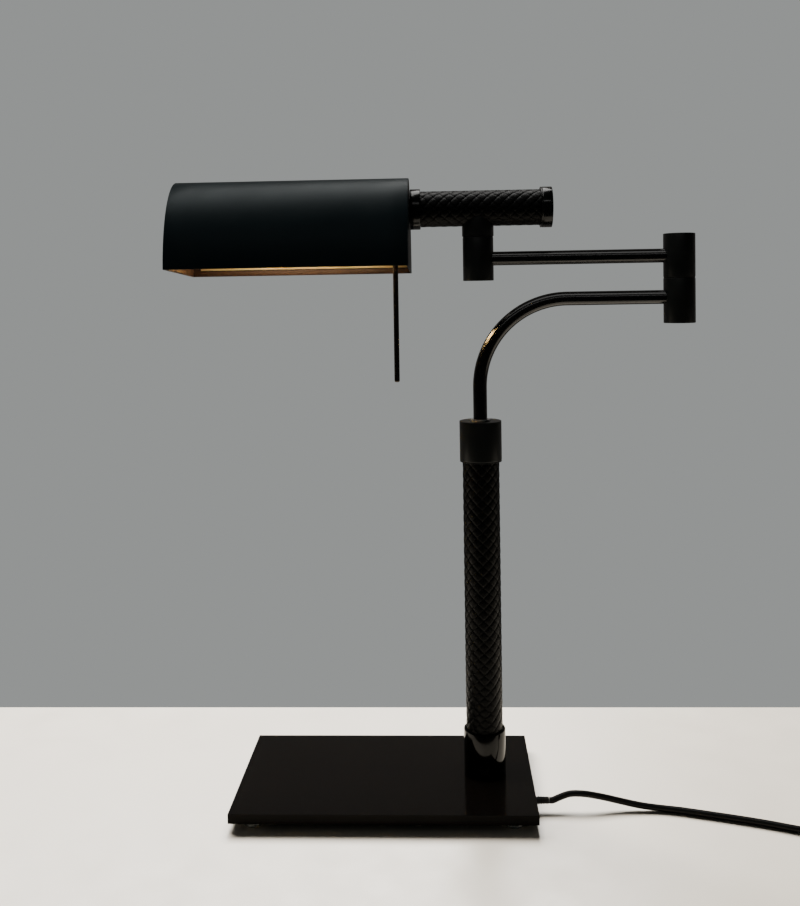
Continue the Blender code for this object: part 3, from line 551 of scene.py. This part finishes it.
def smooth(obj, angle=38):
    obj.data.shade_smooth()
    obj.data.set_sharp_from_angle(angle=math.radians(angle))


def bake_modifiers(obj):
    """Replaces the object's mesh by its evaluated one."""
    bpy.context.view_layer.update()
    shaped = obj.evaluated_get(bpy.context.evaluated_depsgraph_get())
    mesh = bpy.data.meshes.new_from_object(shaped)
    obj.modifiers.clear()
    obj.data = mesh


def soften(obj, width, segments=2, angle=35):
    """Rounds the object's sharp edges and shades it smooth."""
    edge = obj.modifiers.new("edge", "BEVEL")
    edge.width = width
    edge.segments = segments
    edge.limit_method = "ANGLE"
    edge.angle_limit = math.radians(angle)
    bake_modifiers(obj)
    smooth(obj)


def cut_away(obj, cutter):
    """Takes the cutter's shape out of the object and removes the cutter."""
    cut = obj.modifiers.new("cut", "BOOLEAN")
    cut.operation = "DIFFERENCE"
    cut.solver = "EXACT"
    cut.object = cutter
    bake_modifiers(obj)
    bpy.data.objects.remove(cutter, do_unlink=True)


def lathe(name, profile, place, material, edge=0.3 * MM, steps=96):
    """Turns a closed (radius, height) outline about the local Z of place.

    Points on the axis become one point, so that the ends close.
    """
    made = bmesh.new()
    columns = []
    for radius, height in profile:
        if radius == 0:
            columns.append([made.verts.new((0, 0, height))] * steps)
            continue
        columns.append([
            made.verts.new((
                radius * math.cos(2 * math.pi * k / steps),
                radius * math.sin(2 * math.pi * k / steps),
                height,
            ))
            for k in range(steps)
        ])
    solid = profile[0][0] == 0 and profile[-1][0] == 0
    pairs = list(zip(columns, columns[1:]))
    if not solid:
        pairs.append((columns[-1], columns[0]))
    for first, second in pairs:
        for k in range(steps):
            after = (k + 1) % steps
            corners = []
            for vert in (first[k], first[after], second[after], second[k]):
                if vert not in corners:
                    corners.append(vert)
            if len(corners) > 2:
                made.faces.new(corners)
    bmesh.ops.transform(made, matrix=place, verts=made.verts)
    obj = new_object(name, made, material)
    if edge:
        soften(obj, edge)
    else:
        smooth(obj)
    return obj


def settle(piece, body, slot, *nodes):
    """Puts a finished piece on its body and hides the nodes it stands for; slot is not used."""
    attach(piece, body)
    if nodes:
        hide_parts(*nodes)
    return piece


def round_curve(name, points, radius, resolution):
    """A curve object with a round section, on one open spline through points."""
    curve = bpy.data.curves.new(name, "CURVE")
    curve.dimensions = "3D"
    curve.bevel_depth = radius
    curve.bevel_resolution = resolution
    curve.use_fill_caps = True
    spline = curve.splines.new("POLY")
    spline.points.add(len(points) - 1)
    for point, place in zip(spline.points, points):
        point.co = (*place, 1.0)
    obj = bpy.data.objects.new(name, curve)
    bpy.context.scene.collection.objects.link(obj)
    return obj


def tube(name, points, radius, material, sides):
    """A smooth round bar along points."""
    guide = round_curve(name, points, radius, sides // 2 - 2)
    bpy.context.view_layer.update()
    shaped = guide.evaluated_get(bpy.context.evaluated_depsgraph_get())
    made = bmesh.new()
    mesh = bpy.data.meshes.new_from_object(shaped)
    made.from_mesh(mesh)
    bmesh.ops.remove_doubles(made, verts=made.verts, dist=0.01 * MM)
    bpy.data.objects.remove(guide, do_unlink=True)
    obj = new_object(name, made, material)
    smooth(obj)
    return obj


def own_box(node, place):
    """A node's lowest and highest corners in the frame given by place."""
    back = place.inverted()
    points = [back @ v.co for v in frame["nodes"][node].data.vertices]
    low = Vector(min(p[k] for p in points) for k in range(3))
    high = Vector(max(p[k] for p in points) for k in range(3))
    return low, high


def upright(node):
    """The axis, radius, bottom and top of a node turned about a vertical axis."""
    low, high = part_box(node)
    axis = Matrix.Translation(((low.x + high.x) / 2, (low.y + high.y) / 2, 0))
    return axis, (high.x - low.x) / 2, low.z, high.z


# ---------------------------------------------------------------- cord


def smooth_route(points, steps):
    """Points at even steps on a smooth curve (Catmull-Rom) through the given ones."""
    places = [Vector(p) for p in points]
    places = [2 * places[0] - places[1]] + places + [2 * places[-1] - places[-2]]
    made = []
    for k in range(1, len(places) - 2):
        before, start, end, after = places[k - 1 : k + 3]
        for step in range(steps):
            t = step / steps
            made.append(
                0.5 * (
                    2 * start
                    + (end - before) * t
                    + (2 * before - 5 * start + 4 * end - after) * t**2
                    + (3 * start - before - 3 * end + after) * t**3
                )
            )
    made.append(places[-2])
    return made


def ease(value, start, end):
    """From 0 at start to 1 at end, level at both."""
    share = min(1.0, max(0.0, (value - start) / (end - start)))
    return share * share * (3 - 2 * share)


def coil_points(middle, first):
    """The wound turns, from the point where the cord meets the coil to its top."""
    offset = first - middle
    entry = math.degrees(math.atan2(offset.y, offset.x))
    reach = math.hypot(offset.x, offset.y)
    outer = COIL_RADIUS + TURN_STEP
    base = CORD_RADIUS + COIL_LIFT
    turns = 8
    tail_at = TAIL_START - entry + turns * 360
    # Degrees wound in which the cord joins the coil, and before the tail where the
    # last turn starts to rise and starts to move out
    joining, rising, leaving = 60, 190, 110
    points = []
    step = 8
    for k in range(1, int(tail_at / step) + 1):
        wound = tail_at * k / int(tail_at / step)
        radius = reach + (outer - reach) * ease(wound, 0, joining)
        for start, end, places in COIL_SHIFTS:
            radius += places * TURN_STEP * ease(wound, start, end)
        height = first.z + (base - first.z) * ease(wound, 0, joining)
        for start, end in COIL_CLIMBS:
            height += TURN_STEP * ease(wound, start, end)
        last_rise = ease(wound, tail_at - rising, tail_at - leaving)
        height += (TURN_STEP + 0.1 * MM) * last_rise
        radius += TURN_STEP * ease(wound, tail_at - leaving, tail_at)
        angle = math.radians(entry + wound)
        points.append(Vector((
            middle.x + radius * math.cos(angle),
            middle.y + radius * math.sin(angle),
            height,
        )))
    return points


def tail_points(middle, start_z, rear):
    """From the coil's top, round with it and straight into the plug."""
    points = []
    for step in range(1, 9):
        share = step / 8
        angle = math.radians(TAIL_START + TAIL_SWEEP * share)
        points.append(Vector((
            middle.x + COIL_RADIUS * math.cos(angle),
            middle.y + COIL_RADIUS * math.sin(angle),
            start_z + (rear.z - start_z) * share**2,
        )))
    points.append(rear + Vector((-0.2 * MM, -3 * MM, 0)))
    points.append(rear + Vector((0, 1 * MM, 0)))
    return points


def make_strain_relief():
    """A short tapered sleeve with grooves, which lets the cord bend."""
    low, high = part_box("cord_strain_relief")
    root = 3.05 * MM
    profile = [(0, high.x), (CORD_RADIUS + 0.05 * MM, high.x)]
    grooves = 4
    ribs = 1.7 * MM
    for k in range(grooves):
        near = high.x - 1.6 * MM - k * ribs * 1.25
        full = CORD_RADIUS + 0.1 * MM + (root - CORD_RADIUS) * (k + 1) / grooves
        profile += [
            (full, near), (full, near - ribs * 0.7),
            (CORD_RADIUS + 0.02 * MM, near - ribs * 0.8),
            (CORD_RADIUS + 0.02 * MM, near - ribs * 1.1),
        ]
    profile += [(root, PLATE_RIGHT), (root, low.x), (0, low.x)]
    middle = (low + high) / 2
    place = Matrix.Translation((0, middle.y, middle.z)) @ ALONG_X
    piece = lathe("cord_bend_sleeve", profile, place, "black_plastic", 0, 32)
    return settle(piece, "base", "black_plastic", "cord_strain_relief")


def make_plug():
    """A moulded plug: waisted, with finger grooves, and a flat front face."""
    low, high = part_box("plug_body")
    centre = (low + high) / 2
    half_wide = (high.x - low.x) / 2
    half_thick = (high.z - low.z) / 2
    stations, sides = 40, 40
    made = bmesh.new()
    rings = []
    for s in range(stations + 1):
        share = s / stations
        swell = 0.42 + 0.58 * ease(share, -0.1, 0.72)
        if 0.14 < share < 0.56:
            swell -= 0.05 * (0.5 - 0.5 * math.cos((share - 0.14) / 0.42 * 8 * math.pi))
        blunt = 1 - 0.16 * (1 - ease(share, 0, 0.06)) - 0.1 * ease(share, 0.95, 1.0)
        wide = half_wide * swell * blunt
        thick = half_thick * (0.62 + 0.38 * ease(share, 0, 0.6)) * blunt
        ring = []
        for k in range(sides):
            angle = 2 * math.pi * k / sides
            c, d = math.cos(angle), math.sin(angle)
            ring.append(made.verts.new((
                centre.x + wide * math.copysign(abs(c) ** 0.6, c),
                low.y + (high.y - low.y) * share,
                centre.z + thick * math.copysign(abs(d) ** 0.6, d),
            )))
        rings.append(ring)
    for first, second in zip(rings, rings[1:]):
        for k in range(sides):
            after = (k + 1) % sides
            made.faces.new((first[k], first[after], second[after], second[k]))
    made.faces.new(rings[0])
    made.faces.new(rings[-1])
    piece = new_object("plug_moulding", made, "black_plastic")
    smooth(piece, 50)
    return settle(piece, "base", "black_plastic", "plug_body")


def make_tie(middle):
    """A flat tie round the coil's turns, on the side away from the plug."""
    thick = 0.5 * MM
    inside = 1.5 * TURN_STEP + 0.3 * MM
    bottom = 0.12 * MM
    top = COIL_LIFT + 3 * TURN_STEP + 0.2 * MM
    corner = 2.2 * MM
    half_wide = 3 * MM
    place_round = math.radians(205)
    near = COIL_RADIUS - inside
    far = COIL_RADIUS + inside
    outline = []
    for cx, cz, start in (
        (far - corner, top - corner, 0), (near + corner, top - corner, 90),
        (near + corner, bottom + corner, 180), (far - corner, bottom + corner, 270),
    ):
        for k in range(7):
            outline.append((cx, cz, math.radians(start + 15 * k)))
    turn = Matrix.Translation(middle) @ Matrix.Rotation(place_round, 4, "Z")
    made = bmesh.new()
    loops = []
    for y in (-half_wide, half_wide):
        for out in (corner - thick, corner):
            loops.append([
                made.verts.new(turn @ Vector((
                    x + out * math.cos(a), y, z + out * math.sin(a)
                )))
                for x, z, a in outline
            ])
    count = len(outline)
    for first, second in ((0, 1), (1, 3), (3, 2), (2, 0)):
        for k in range(count):
            after = (k + 1) % count
            made.faces.new((
                loops[first][k], loops[first][after],
                loops[second][after], loops[second][k],
            ))
    piece = new_object("cord_tie", made, "black_plastic")
    smooth(piece)
    return settle(piece, "base", "black_plastic")


def make_cord():
    """The free cord as one smooth curve, from the plate's side to the plug."""
    middle = Vector((POST_X + COIL_CENTRE[0] * MM, COIL_CENTRE[1] * MM, 0))
    route = [Vector((POST_X + x * MM, y * MM, z * MM)) for x, y, z in CORD_ROUTE]
    low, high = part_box("plug_body")
    rear = Vector((
        middle.x + PLUG_REAR[0] * MM, middle.y + PLUG_REAR[1] * MM, (low.z + high.z) / 2
    ))
    points = smooth_route(route, 4)
    points += coil_points(middle, route[-1])
    points += tail_points(middle, points[-1].z, rear)

    cord = round_curve("mains_cord", points, CORD_RADIUS, 6)
    cord.data.splines[0].use_smooth = True
    cord.data.materials.append(MATERIALS["black_cord"])
    settle(cord, "base", "black_cord", "flex_cord", "cord_coil", "cord_tail")
    sleeve = make_strain_relief()
    plug = make_plug()
    tie = make_tie(middle)


# ---------------------------------------------------------------- leather


def braid(name, place, inner, outer, start, end, strips=10):
    """Leather strips plaited round a tube, half wound each way, over and under.

    place puts the tube's axis along its local Z; start and end are heights on it.
    """
    middle = (inner + outer) / 2
    thick = (outer - inner) * 0.46
    rise = (outer - inner) / 2 - thick / 2
    spacing = 2 * math.pi * middle / strips
    half = spacing * math.sqrt(0.5) * 0.48
    top = [(-1.0, 0.16), (-0.86, 0.66), (-0.5, 0.93), (0.0, 1.0)]
    section = top + [(-w, h) for w, h in reversed(top[:-1])]
    section += [(1.0, -0.16), (0.0, -0.35), (-1.0, -0.16)]
    per_crossing = 6
    margin = 2 * half
    steps = int((end - start + 2 * margin) / (spacing / 2) * per_crossing)
    made = bmesh.new()
    for way in (1, -1):
        for strip in range(strips):
            rings = []
            for step in range(steps + 1):
                along = start - margin + (end - start + 2 * margin) * step / steps
                around = way * along + strip * spacing
                crossed = strip + way * 2 * along / spacing
                weave = math.cos(math.pi * (strip + crossed))
                lift = way * rise * math.tanh(2.2 * weave) / math.tanh(2.2)
                ring = []
                for across, up in section:
                    shift = across * half * math.sqrt(0.5)
                    angle = (around + shift) / middle
                    radius = middle + lift + up * thick / 2
                    ring.append(made.verts.new((
                        radius * math.cos(angle), radius * math.sin(angle),
                        along - way * shift,
                    )))
                rings.append(ring)
            count = len(section)
            for first, second in zip(rings, rings[1:]):
                for k in range(count):
                    after = (k + 1) % count
                    face = made.faces.new((
                        first[k], first[after], second[after], second[k]
                    ))
                    face.material_index = 1 if k in (6, 9) else 0
            made.faces.new(rings[0])
            made.faces.new(rings[-1])
    for height, side in ((start, -1), (end, 1)):
        bmesh.ops.bisect_plane(
            made, geom=[*made.verts, *made.edges, *made.faces], dist=0.001 * MM,
            plane_co=(0, 0, height), plane_no=(0, 0, side), clear_outer=True,
        )
        rim = [edge for edge in made.edges if edge.is_boundary]
        bmesh.ops.holes_fill(made, edges=rim, sides=0)
    bmesh.ops.transform(made, matrix=place, verts=made.verts)
    obj = new_object(name, made, "black_leather", "leather_edge")
    smooth(obj, 50)
    return obj


# ---------------------------------------------------------------- base and post


def make_post():
    axis, outer, low, high = upright("post_leather")
    inner = upright("post_tube")[1] + 0.1 * MM
    settle(
        braid("post_braid", axis, inner, outer, low, high), "base",
        "black_leather", "post_leather",
    )
    bore = outer + GAP
    axis, radius, low, high = upright("bottom_collar")
    piece = lathe(
        "bottom_collar_turned",
        [(radius, high), (radius, low), (bore, low), (bore, high)],
        axis, "gloss_black_metal", 0.6 * MM,
    )
    settle(piece, "base", "gloss_black_metal", "bottom_collar")
    axis, radius, low, high = upright("top_collar")
    neck = 8 * MM
    cap = 12 * MM
    lip = 0.25 * MM
    piece = lathe(
        "top_collar_turned",
        [
            (neck, high), (radius, high), (radius, low + 1.6 * MM),
            (radius - lip, low + 1.3 * MM), (radius - lip, low + 0.9 * MM),
            (radius, low + 0.6 * MM), (radius, low), (bore, low),
            (bore, high - cap), (neck, high - cap),
        ],
        axis, "satin_black_metal", 0.35 * MM,
    )
    settle(piece, "base", "satin_black_metal", "top_collar")
    axis, _, low, high = upright("swivel_bush")
    flange = 8.8 * MM
    sleeve = 6.3 * MM
    shoulder = high - 1.2 * MM
    piece = lathe(
        "swivel_bush_turned",
        [
            (sleeve, high), (flange, high), (flange, shoulder),
            (neck - GAP, shoulder), (neck - GAP, low), (sleeve, low),
        ],
        axis, "steel", 0.2 * MM,
    )
    settle(piece, "base", "steel", "swivel_bush")


def make_feet():
    """Clear bumpers: a short straight rim, then a dome."""
    rim = 1.4 * MM
    dome = 2.4 * MM
    for side in ("front_left", "front_right", "back_left", "back_right"):
        axis, radius, low, high = upright("foot_" + side)
        profile = [(0, high), (radius, high), (radius, high - rim)]
        rounds = 8
        for k in range(1, rounds + 1):
            angle = math.pi / 2 * k / rounds
            profile.append((
                radius - dome * (1 - math.cos(angle)),
                high - rim - (high - low - rim) * math.sin(angle),
            ))
        profile.append((0, low))
        piece = lathe("bumper_" + side, profile, axis, "clear_rubber", 0, 48)
        settle(piece, "base", "clear_rubber", "foot_" + side)


# ---------------------------------------------------------------- arms


def make_arms():
    """The two arm tubes, with the gooseneck's quarter bend."""
    bend = 76 * MM
    low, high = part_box("gooseneck_tube")
    radius = (high.y - low.y) / 2
    level = high.z - radius
    points = [(POST_X, 0, low.z), (POST_X, 0, level - bend - 20 * MM)]
    steps = 48
    for k in range(steps + 1):
        angle = math.pi / 2 * k / steps
        points.append((
            POST_X + bend * (1 - math.cos(angle)), 0,
            level - bend + bend * math.sin(angle),
        ))
    points.append((high.x, 0, level))
    piece = tube("gooseneck_bent", points, radius, "tube_lacquer", 48)
    settle(piece, "lower_arm", "gloss_black_metal", "gooseneck_tube")

    low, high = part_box("upper_arm_tube")
    level = (low.z + high.z) / 2
    points = [(low.x, 0, level), ((low.x + high.x) / 2, 0, level), (high.x, 0, level)]
    piece = tube("upper_arm_straight", points, radius, "tube_lacquer", 48)
    settle(piece, "upper_arm", "gloss_black_metal", "upper_arm_tube")


def make_knuckle(node, body, hollow, arm_side):
    """One half of a swivel, with the socket of its arm cut into one side.

    With hollow "below", it has a wide recess in its bottom and a bore through the
    rest. With "above", it has only a bore, open at the bottom and closed on top.
    """
    axis, radius, low, high = upright(node)
    screw = 8.4 * MM
    if hollow == "below":
        roof = low + 5.4 * MM
        profile = [
            (radius, high), (radius, low), (screw, low), (screw, roof),
            (LEAD_BORE, roof), (LEAD_BORE, high),
        ]
    else:
        end = high - 7 * MM
        profile = [
            (0, high), (radius, high), (radius, low), (LEAD_BORE, low),
            (LEAD_BORE, end), (0, end),
        ]
    piece = lathe(node + "_turned", profile, axis, "satin_black_metal", 0.45 * MM)

    arm = "gooseneck_tube" if body == "lower_arm" else "upper_arm_tube"
    arm_radius = 6 * MM
    socket_radius = 6.15 * MM
    socket_depth = 6.8 * MM
    overrun = 4 * MM
    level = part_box(arm)[1].z - arm_radius
    centre = axis.translation
    socket = rod_between(
        "socket", (centre.x + arm_side * (radius - socket_depth), 0, level),
        (centre.x + arm_side * (radius + overrun), 0, level), socket_radius,
    )
    cut_away(piece, socket)
    smooth(piece)
    return settle(piece, body, "satin_black_metal", node)


def rod_between(name, start, end, radius, sides=64):
    """A plain round cutter between two points."""
    start, end = Vector(start), Vector(end)
    made = bmesh.new()
    bmesh.ops.create_cone(
        made, segments=sides, radius1=radius, radius2=radius,
        depth=(end - start).length, cap_ends=True,
    )
    turn = (end - start).to_track_quat("Z", "Y").to_matrix().to_4x4()
    bmesh.ops.transform(
        made, matrix=Matrix.Translation((start + end) / 2) @ turn, verts=made.verts
    )
    return new_object(name, made)


def make_washer(name, node, body, above):
    """A friction washer that fills the slit under the half called above."""
    axis, _, low, high = upright(node)
    wide = upright(above)[1] - 0.25 * MM
    spare = GAP - 0.03 * MM
    piece = lathe(
        name,
        [(wide, high + spare), (wide, low - spare), (LEAD_BORE, low - spare),
         (LEAD_BORE, high + spare)],
        axis, "black_plastic", 0.1 * MM,
    )
    return settle(piece, body, "black_plastic", node)


def make_saddle():
    """The head's upper half, its top coped to the handle."""
    axis, radius, low, _ = upright("head_saddle")
    radius -= GAP
    level = TILT_AXIS.z
    roof = low + 4 * MM
    handle_low, handle_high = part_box("handle_leather")
    cope = (handle_high.y - handle_low.y) / 2 + 0.2 * MM
    piece = lathe(
        "head_saddle_coped",
        [(0, level), (radius, level), (radius, low), (LEAD_BORE, low),
         (LEAD_BORE, roof), (0, roof)],
        axis, "satin_black_metal", 0, 96,
    )
    reach = 30 * MM
    centre = axis.translation.x
    cut_away(piece, rod_between(
        "cope", (centre - reach, 0, level), (centre + reach, 0, level), cope, 128
    ))
    soften(piece, 0.4 * MM)
    return settle(piece, "handle", "satin_black_metal", "head_saddle")


def make_handle():
    """The plaited barrel with its inner ring and end cap."""
    low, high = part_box("handle_leather")
    place = Matrix.Translation((0, 0, TILT_AXIS.z)) @ ALONG_X
    inner = 13.9 * MM
    piece = braid(
        "handle_braid", place, inner, (high.y - low.y) / 2, low.x, high.x
    )
    settle(piece, "handle", "black_leather", "handle_leather")

    low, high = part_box("handle_inner_ring")
    rim = (high.y - low.y) / 2
    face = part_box("handle_leather")[0].x - GAP
    spigot = 11.9 * MM
    profile = [
        (spigot, high.x), (spigot, face), (rim, face), (rim, low.x),
        (LEAD_BORE, low.x), (LEAD_BORE, high.x),
    ]
    piece = lathe("handle_inner_ring_turned", profile, place, "satin_black_turned")
    settle(piece, "handle", "satin_black_metal", "handle_inner_ring")

    low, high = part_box("handle_end_cap")
    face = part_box("handle_leather")[1].x + GAP
    lip = 2.2 * MM
    sink = 1 * MM
    profile = [
        (0, high.x - sink), (rim - lip, high.x - sink), (rim - lip, high.x),
        (rim, high.x), (rim, face + 1.4 * MM), (rim - 0.25 * MM, face + 1.15 * MM),
        (rim - 0.25 * MM, face + 0.85 * MM), (rim, face + 0.6 * MM), (rim, face),
        (spigot, face), (spigot, low.x), (0, low.x),
    ]
    piece = lathe(
        "handle_end_cap_turned", profile, place, "satin_black_turned", 0.4 * MM
    )
    settle(piece, "handle", "satin_black_metal", "handle_end_cap")


# ---------------------------------------------------------------- shade


def arc(half, height, foot, lift, steps=96):
    """A half ellipse as (y, z), front to back, from lift above its foot."""
    start = math.asin(lift / height) if lift else 0.0
    points = []
    for k in range(steps + 1):
        angle = start + (math.pi - 2 * start) * k / steps
        points.append((-half * math.cos(angle), foot + height * math.sin(angle)))
    return points


def bent_sheet(name, outer, inner, start, end, materials, edge):
    """A sheet between two arcs, from start to end along X in the shade's frame.

    Its outer face takes the first material, and all the rest the last one.
    """
    made = bmesh.new()
    stations = 12
    outline = outer + list(reversed(inner))
    rings = []
    for k in range(stations + 1):
        x = start + (end - start) * k / stations
        rings.append([made.verts.new((x, y, z)) for y, z in outline])
    count = len(outline)
    for first, second in zip(rings, rings[1:]):
        for k in range(count):
            after = (k + 1) % count
            face = made.faces.new((first[k], first[after], second[after], second[k]))
            outside = k < len(outer) or k == count - 1
            face.material_index = 0 if outside else len(materials) - 1
    for ring in (rings[0], rings[-1]):
        for k in range(len(outer) - 1):
            made.faces.new((
                ring[k], ring[k + 1], ring[count - 2 - k], ring[count - 1 - k]
            ))
    bmesh.ops.transform(made, matrix=SHADE_FRAME, verts=made.verts)
    obj = new_object(name, made, *materials)
    soften(obj, edge)
    return obj


def shade_size():
    low, high = own_box("shade_shell", SHADE_FRAME)
    return low, high, high.y, high.z - low.z


def make_shade():
    low, high, half, height = shade_size()
    sheet = 1.2 * MM
    hem = 5.5 * MM
    foot = low.z
    piece = bent_sheet(
        "shade_trough", arc(half, height, foot, 0),
        arc(half - sheet, height - sheet, foot, 0), low.x, high.x,
        ("shade_paint", "dark_bronze"), 0.3 * MM,
    )
    settle(piece, "shade", "shade_paint", "shade_shell")

    inset = sheet + GAP
    liner = 0.6 * MM
    corner = 8 * MM
    piece = bent_sheet(
        "shade_reflector", arc(half - inset, height - inset, foot, hem),
        arc(half - inset - liner, height - inset - liner, foot, hem),
        low.x + corner, high.x - inset, ("gold_reflector",), 0.15 * MM,
    )
    settle(piece, "shade", "gold_reflector", "shade_liner")

    for side, x, inward in (("left", low.x, 1), ("right", high.x, -1)):
        make_shade_end(side, x, inward, half - inset, height - inset, foot, sheet)


def make_shade_end(side, x, inward, half, height, foot, sheet):
    """A flat end, painted outside and dark bronze inside."""
    outline = arc(half, height, foot, 0)
    made = bmesh.new()
    near = [made.verts.new((x, y, z)) for y, z in outline]
    far = [made.verts.new((x + inward * sheet, y, z)) for y, z in outline]
    made.faces.new(near)
    inner = made.faces.new(far)
    inner.material_index = 1
    count = len(outline)
    for k in range(count):
        after = (k + 1) % count
        made.faces.new((near[k], near[after], far[after], far[k]))
    bmesh.ops.transform(made, matrix=SHADE_FRAME, verts=made.verts)
    obj = new_object("shade_end_" + side, made, "shade_paint", "dark_bronze")
    if side == "right":
        reach = 5 * MM
        cut_away(obj, rod_between(
            "shaft_hole", SHADE_FRAME @ Vector((x - reach, 0, 0)),
            SHADE_FRAME @ Vector((x + reach, 0, 0)), LEAD_BORE, 48,
        ))
    soften(obj, 0.25 * MM)
    settle(obj, "shade", "shade_paint", "shade_end_plate_" + side)


def make_lamp():
    """Bulb and holder, lying along the shade."""
    place = SHADE_FRAME @ ALONG_X
    low, high = own_box("bulb_glass", SHADE_FRAME)
    radius = (high.y - low.y) / 2
    neck = high.x
    neck_radius = 12.5 * MM
    taper = 8 * MM
    profile = [(0, neck), (neck_radius, neck)]
    for k in range(9):
        share = k / 8
        profile.append((
            neck_radius + (radius - neck_radius) * ease(share, 0, 1),
            neck - taper * share,
        ))
    rounds = 16
    for k in range(1, rounds + 1):
        angle = math.pi / 2 * k / rounds
        profile.append((
            radius * math.cos(angle) if k < rounds else 0,
            low.x + radius * (1 - math.sin(angle)),
        ))
    piece = lathe("bulb_envelope", profile, place, "frosted_glass", 0, 64)
    settle(piece, "shade", "frosted_glass", "bulb_glass")

    low, high = own_box("lamp_holder", SHADE_FRAME)
    radius = (high.y - low.y) / 2
    bore = radius - 1.8 * MM
    floor = high.x - 14 * MM
    profile = [(radius - 2 * MM, high.x), (radius, high.x - 2 * MM)]
    ribs = 9
    for k in range(ribs):
        near = high.x - 6 * MM - k * 3.2 * MM
        profile += [
            (radius, near), (radius - 0.5 * MM, near - 0.4 * MM),
            (radius - 0.5 * MM, near - 1.1 * MM), (radius, near - 1.5 * MM),
        ]
    profile += [
        (radius, low.x), (bore, low.x), (bore, floor), (LEAD_BORE, floor),
        (LEAD_BORE, high.x),
    ]
    piece = lathe("lamp_holder_ribbed", profile, place, "black_plastic", 0.15 * MM, 64)
    settle(piece, "shade", "black_plastic", "lamp_holder")


def make_rod():
    """The pull rod, with a rounded tip."""
    low, high = own_box("pull_rod", SHADE_FRAME)
    radius = (high.x - low.x) / 2
    middle = (low + high) / 2
    profile = [(0, high.z), (radius, high.z)]
    rounds = 6
    tip = 1.4 * MM
    for k in range(rounds + 1):
        angle = math.pi / 2 * k / rounds
        profile.append((
            radius - tip * (1 - math.cos(angle)), low.z + tip * (1 - math.sin(angle))
        ))
    profile.append((0, low.z))
    place = SHADE_FRAME @ Matrix.Translation((middle.x, middle.y, 0))
    piece = lathe("pull_rod_turned", profile, place, "black_nickel", 0, 48)
    settle(piece, "pull_rod", "black_nickel", "pull_rod")


# ---------------------------------------------------------------- all together


def finish_nodes():
    """Gives each CAD node that still shows the material of its slot."""
    for part in frame["record"]["subparts"]:
        node = frame["nodes"][part["node"]]
        node.data.materials.clear()
        node.data.materials.append(MATERIALS[part["material_slot"]])
    frame["nodes"]["base_plate"].data.materials[0] = MATERIALS["plate_lacquer"]


make_camera()
make_cord()
make_stage()
finish_nodes()
make_post()
make_feet()
make_arms()
make_knuckle("elbow_lower_knuckle", "lower_arm", "below", -1)
make_knuckle("elbow_upper_knuckle", "upper_arm", "above", -1)
make_knuckle("head_lower_knuckle", "upper_arm", "below", 1)
make_washer("elbow_washer_turned", "elbow_washer", "upper_arm", "elbow_upper_knuckle")
make_washer("head_washer_turned", "head_washer", "handle", "head_lower_knuckle")
make_saddle()
make_handle()
make_shade()
make_lamp()
make_rod()
link_lights()
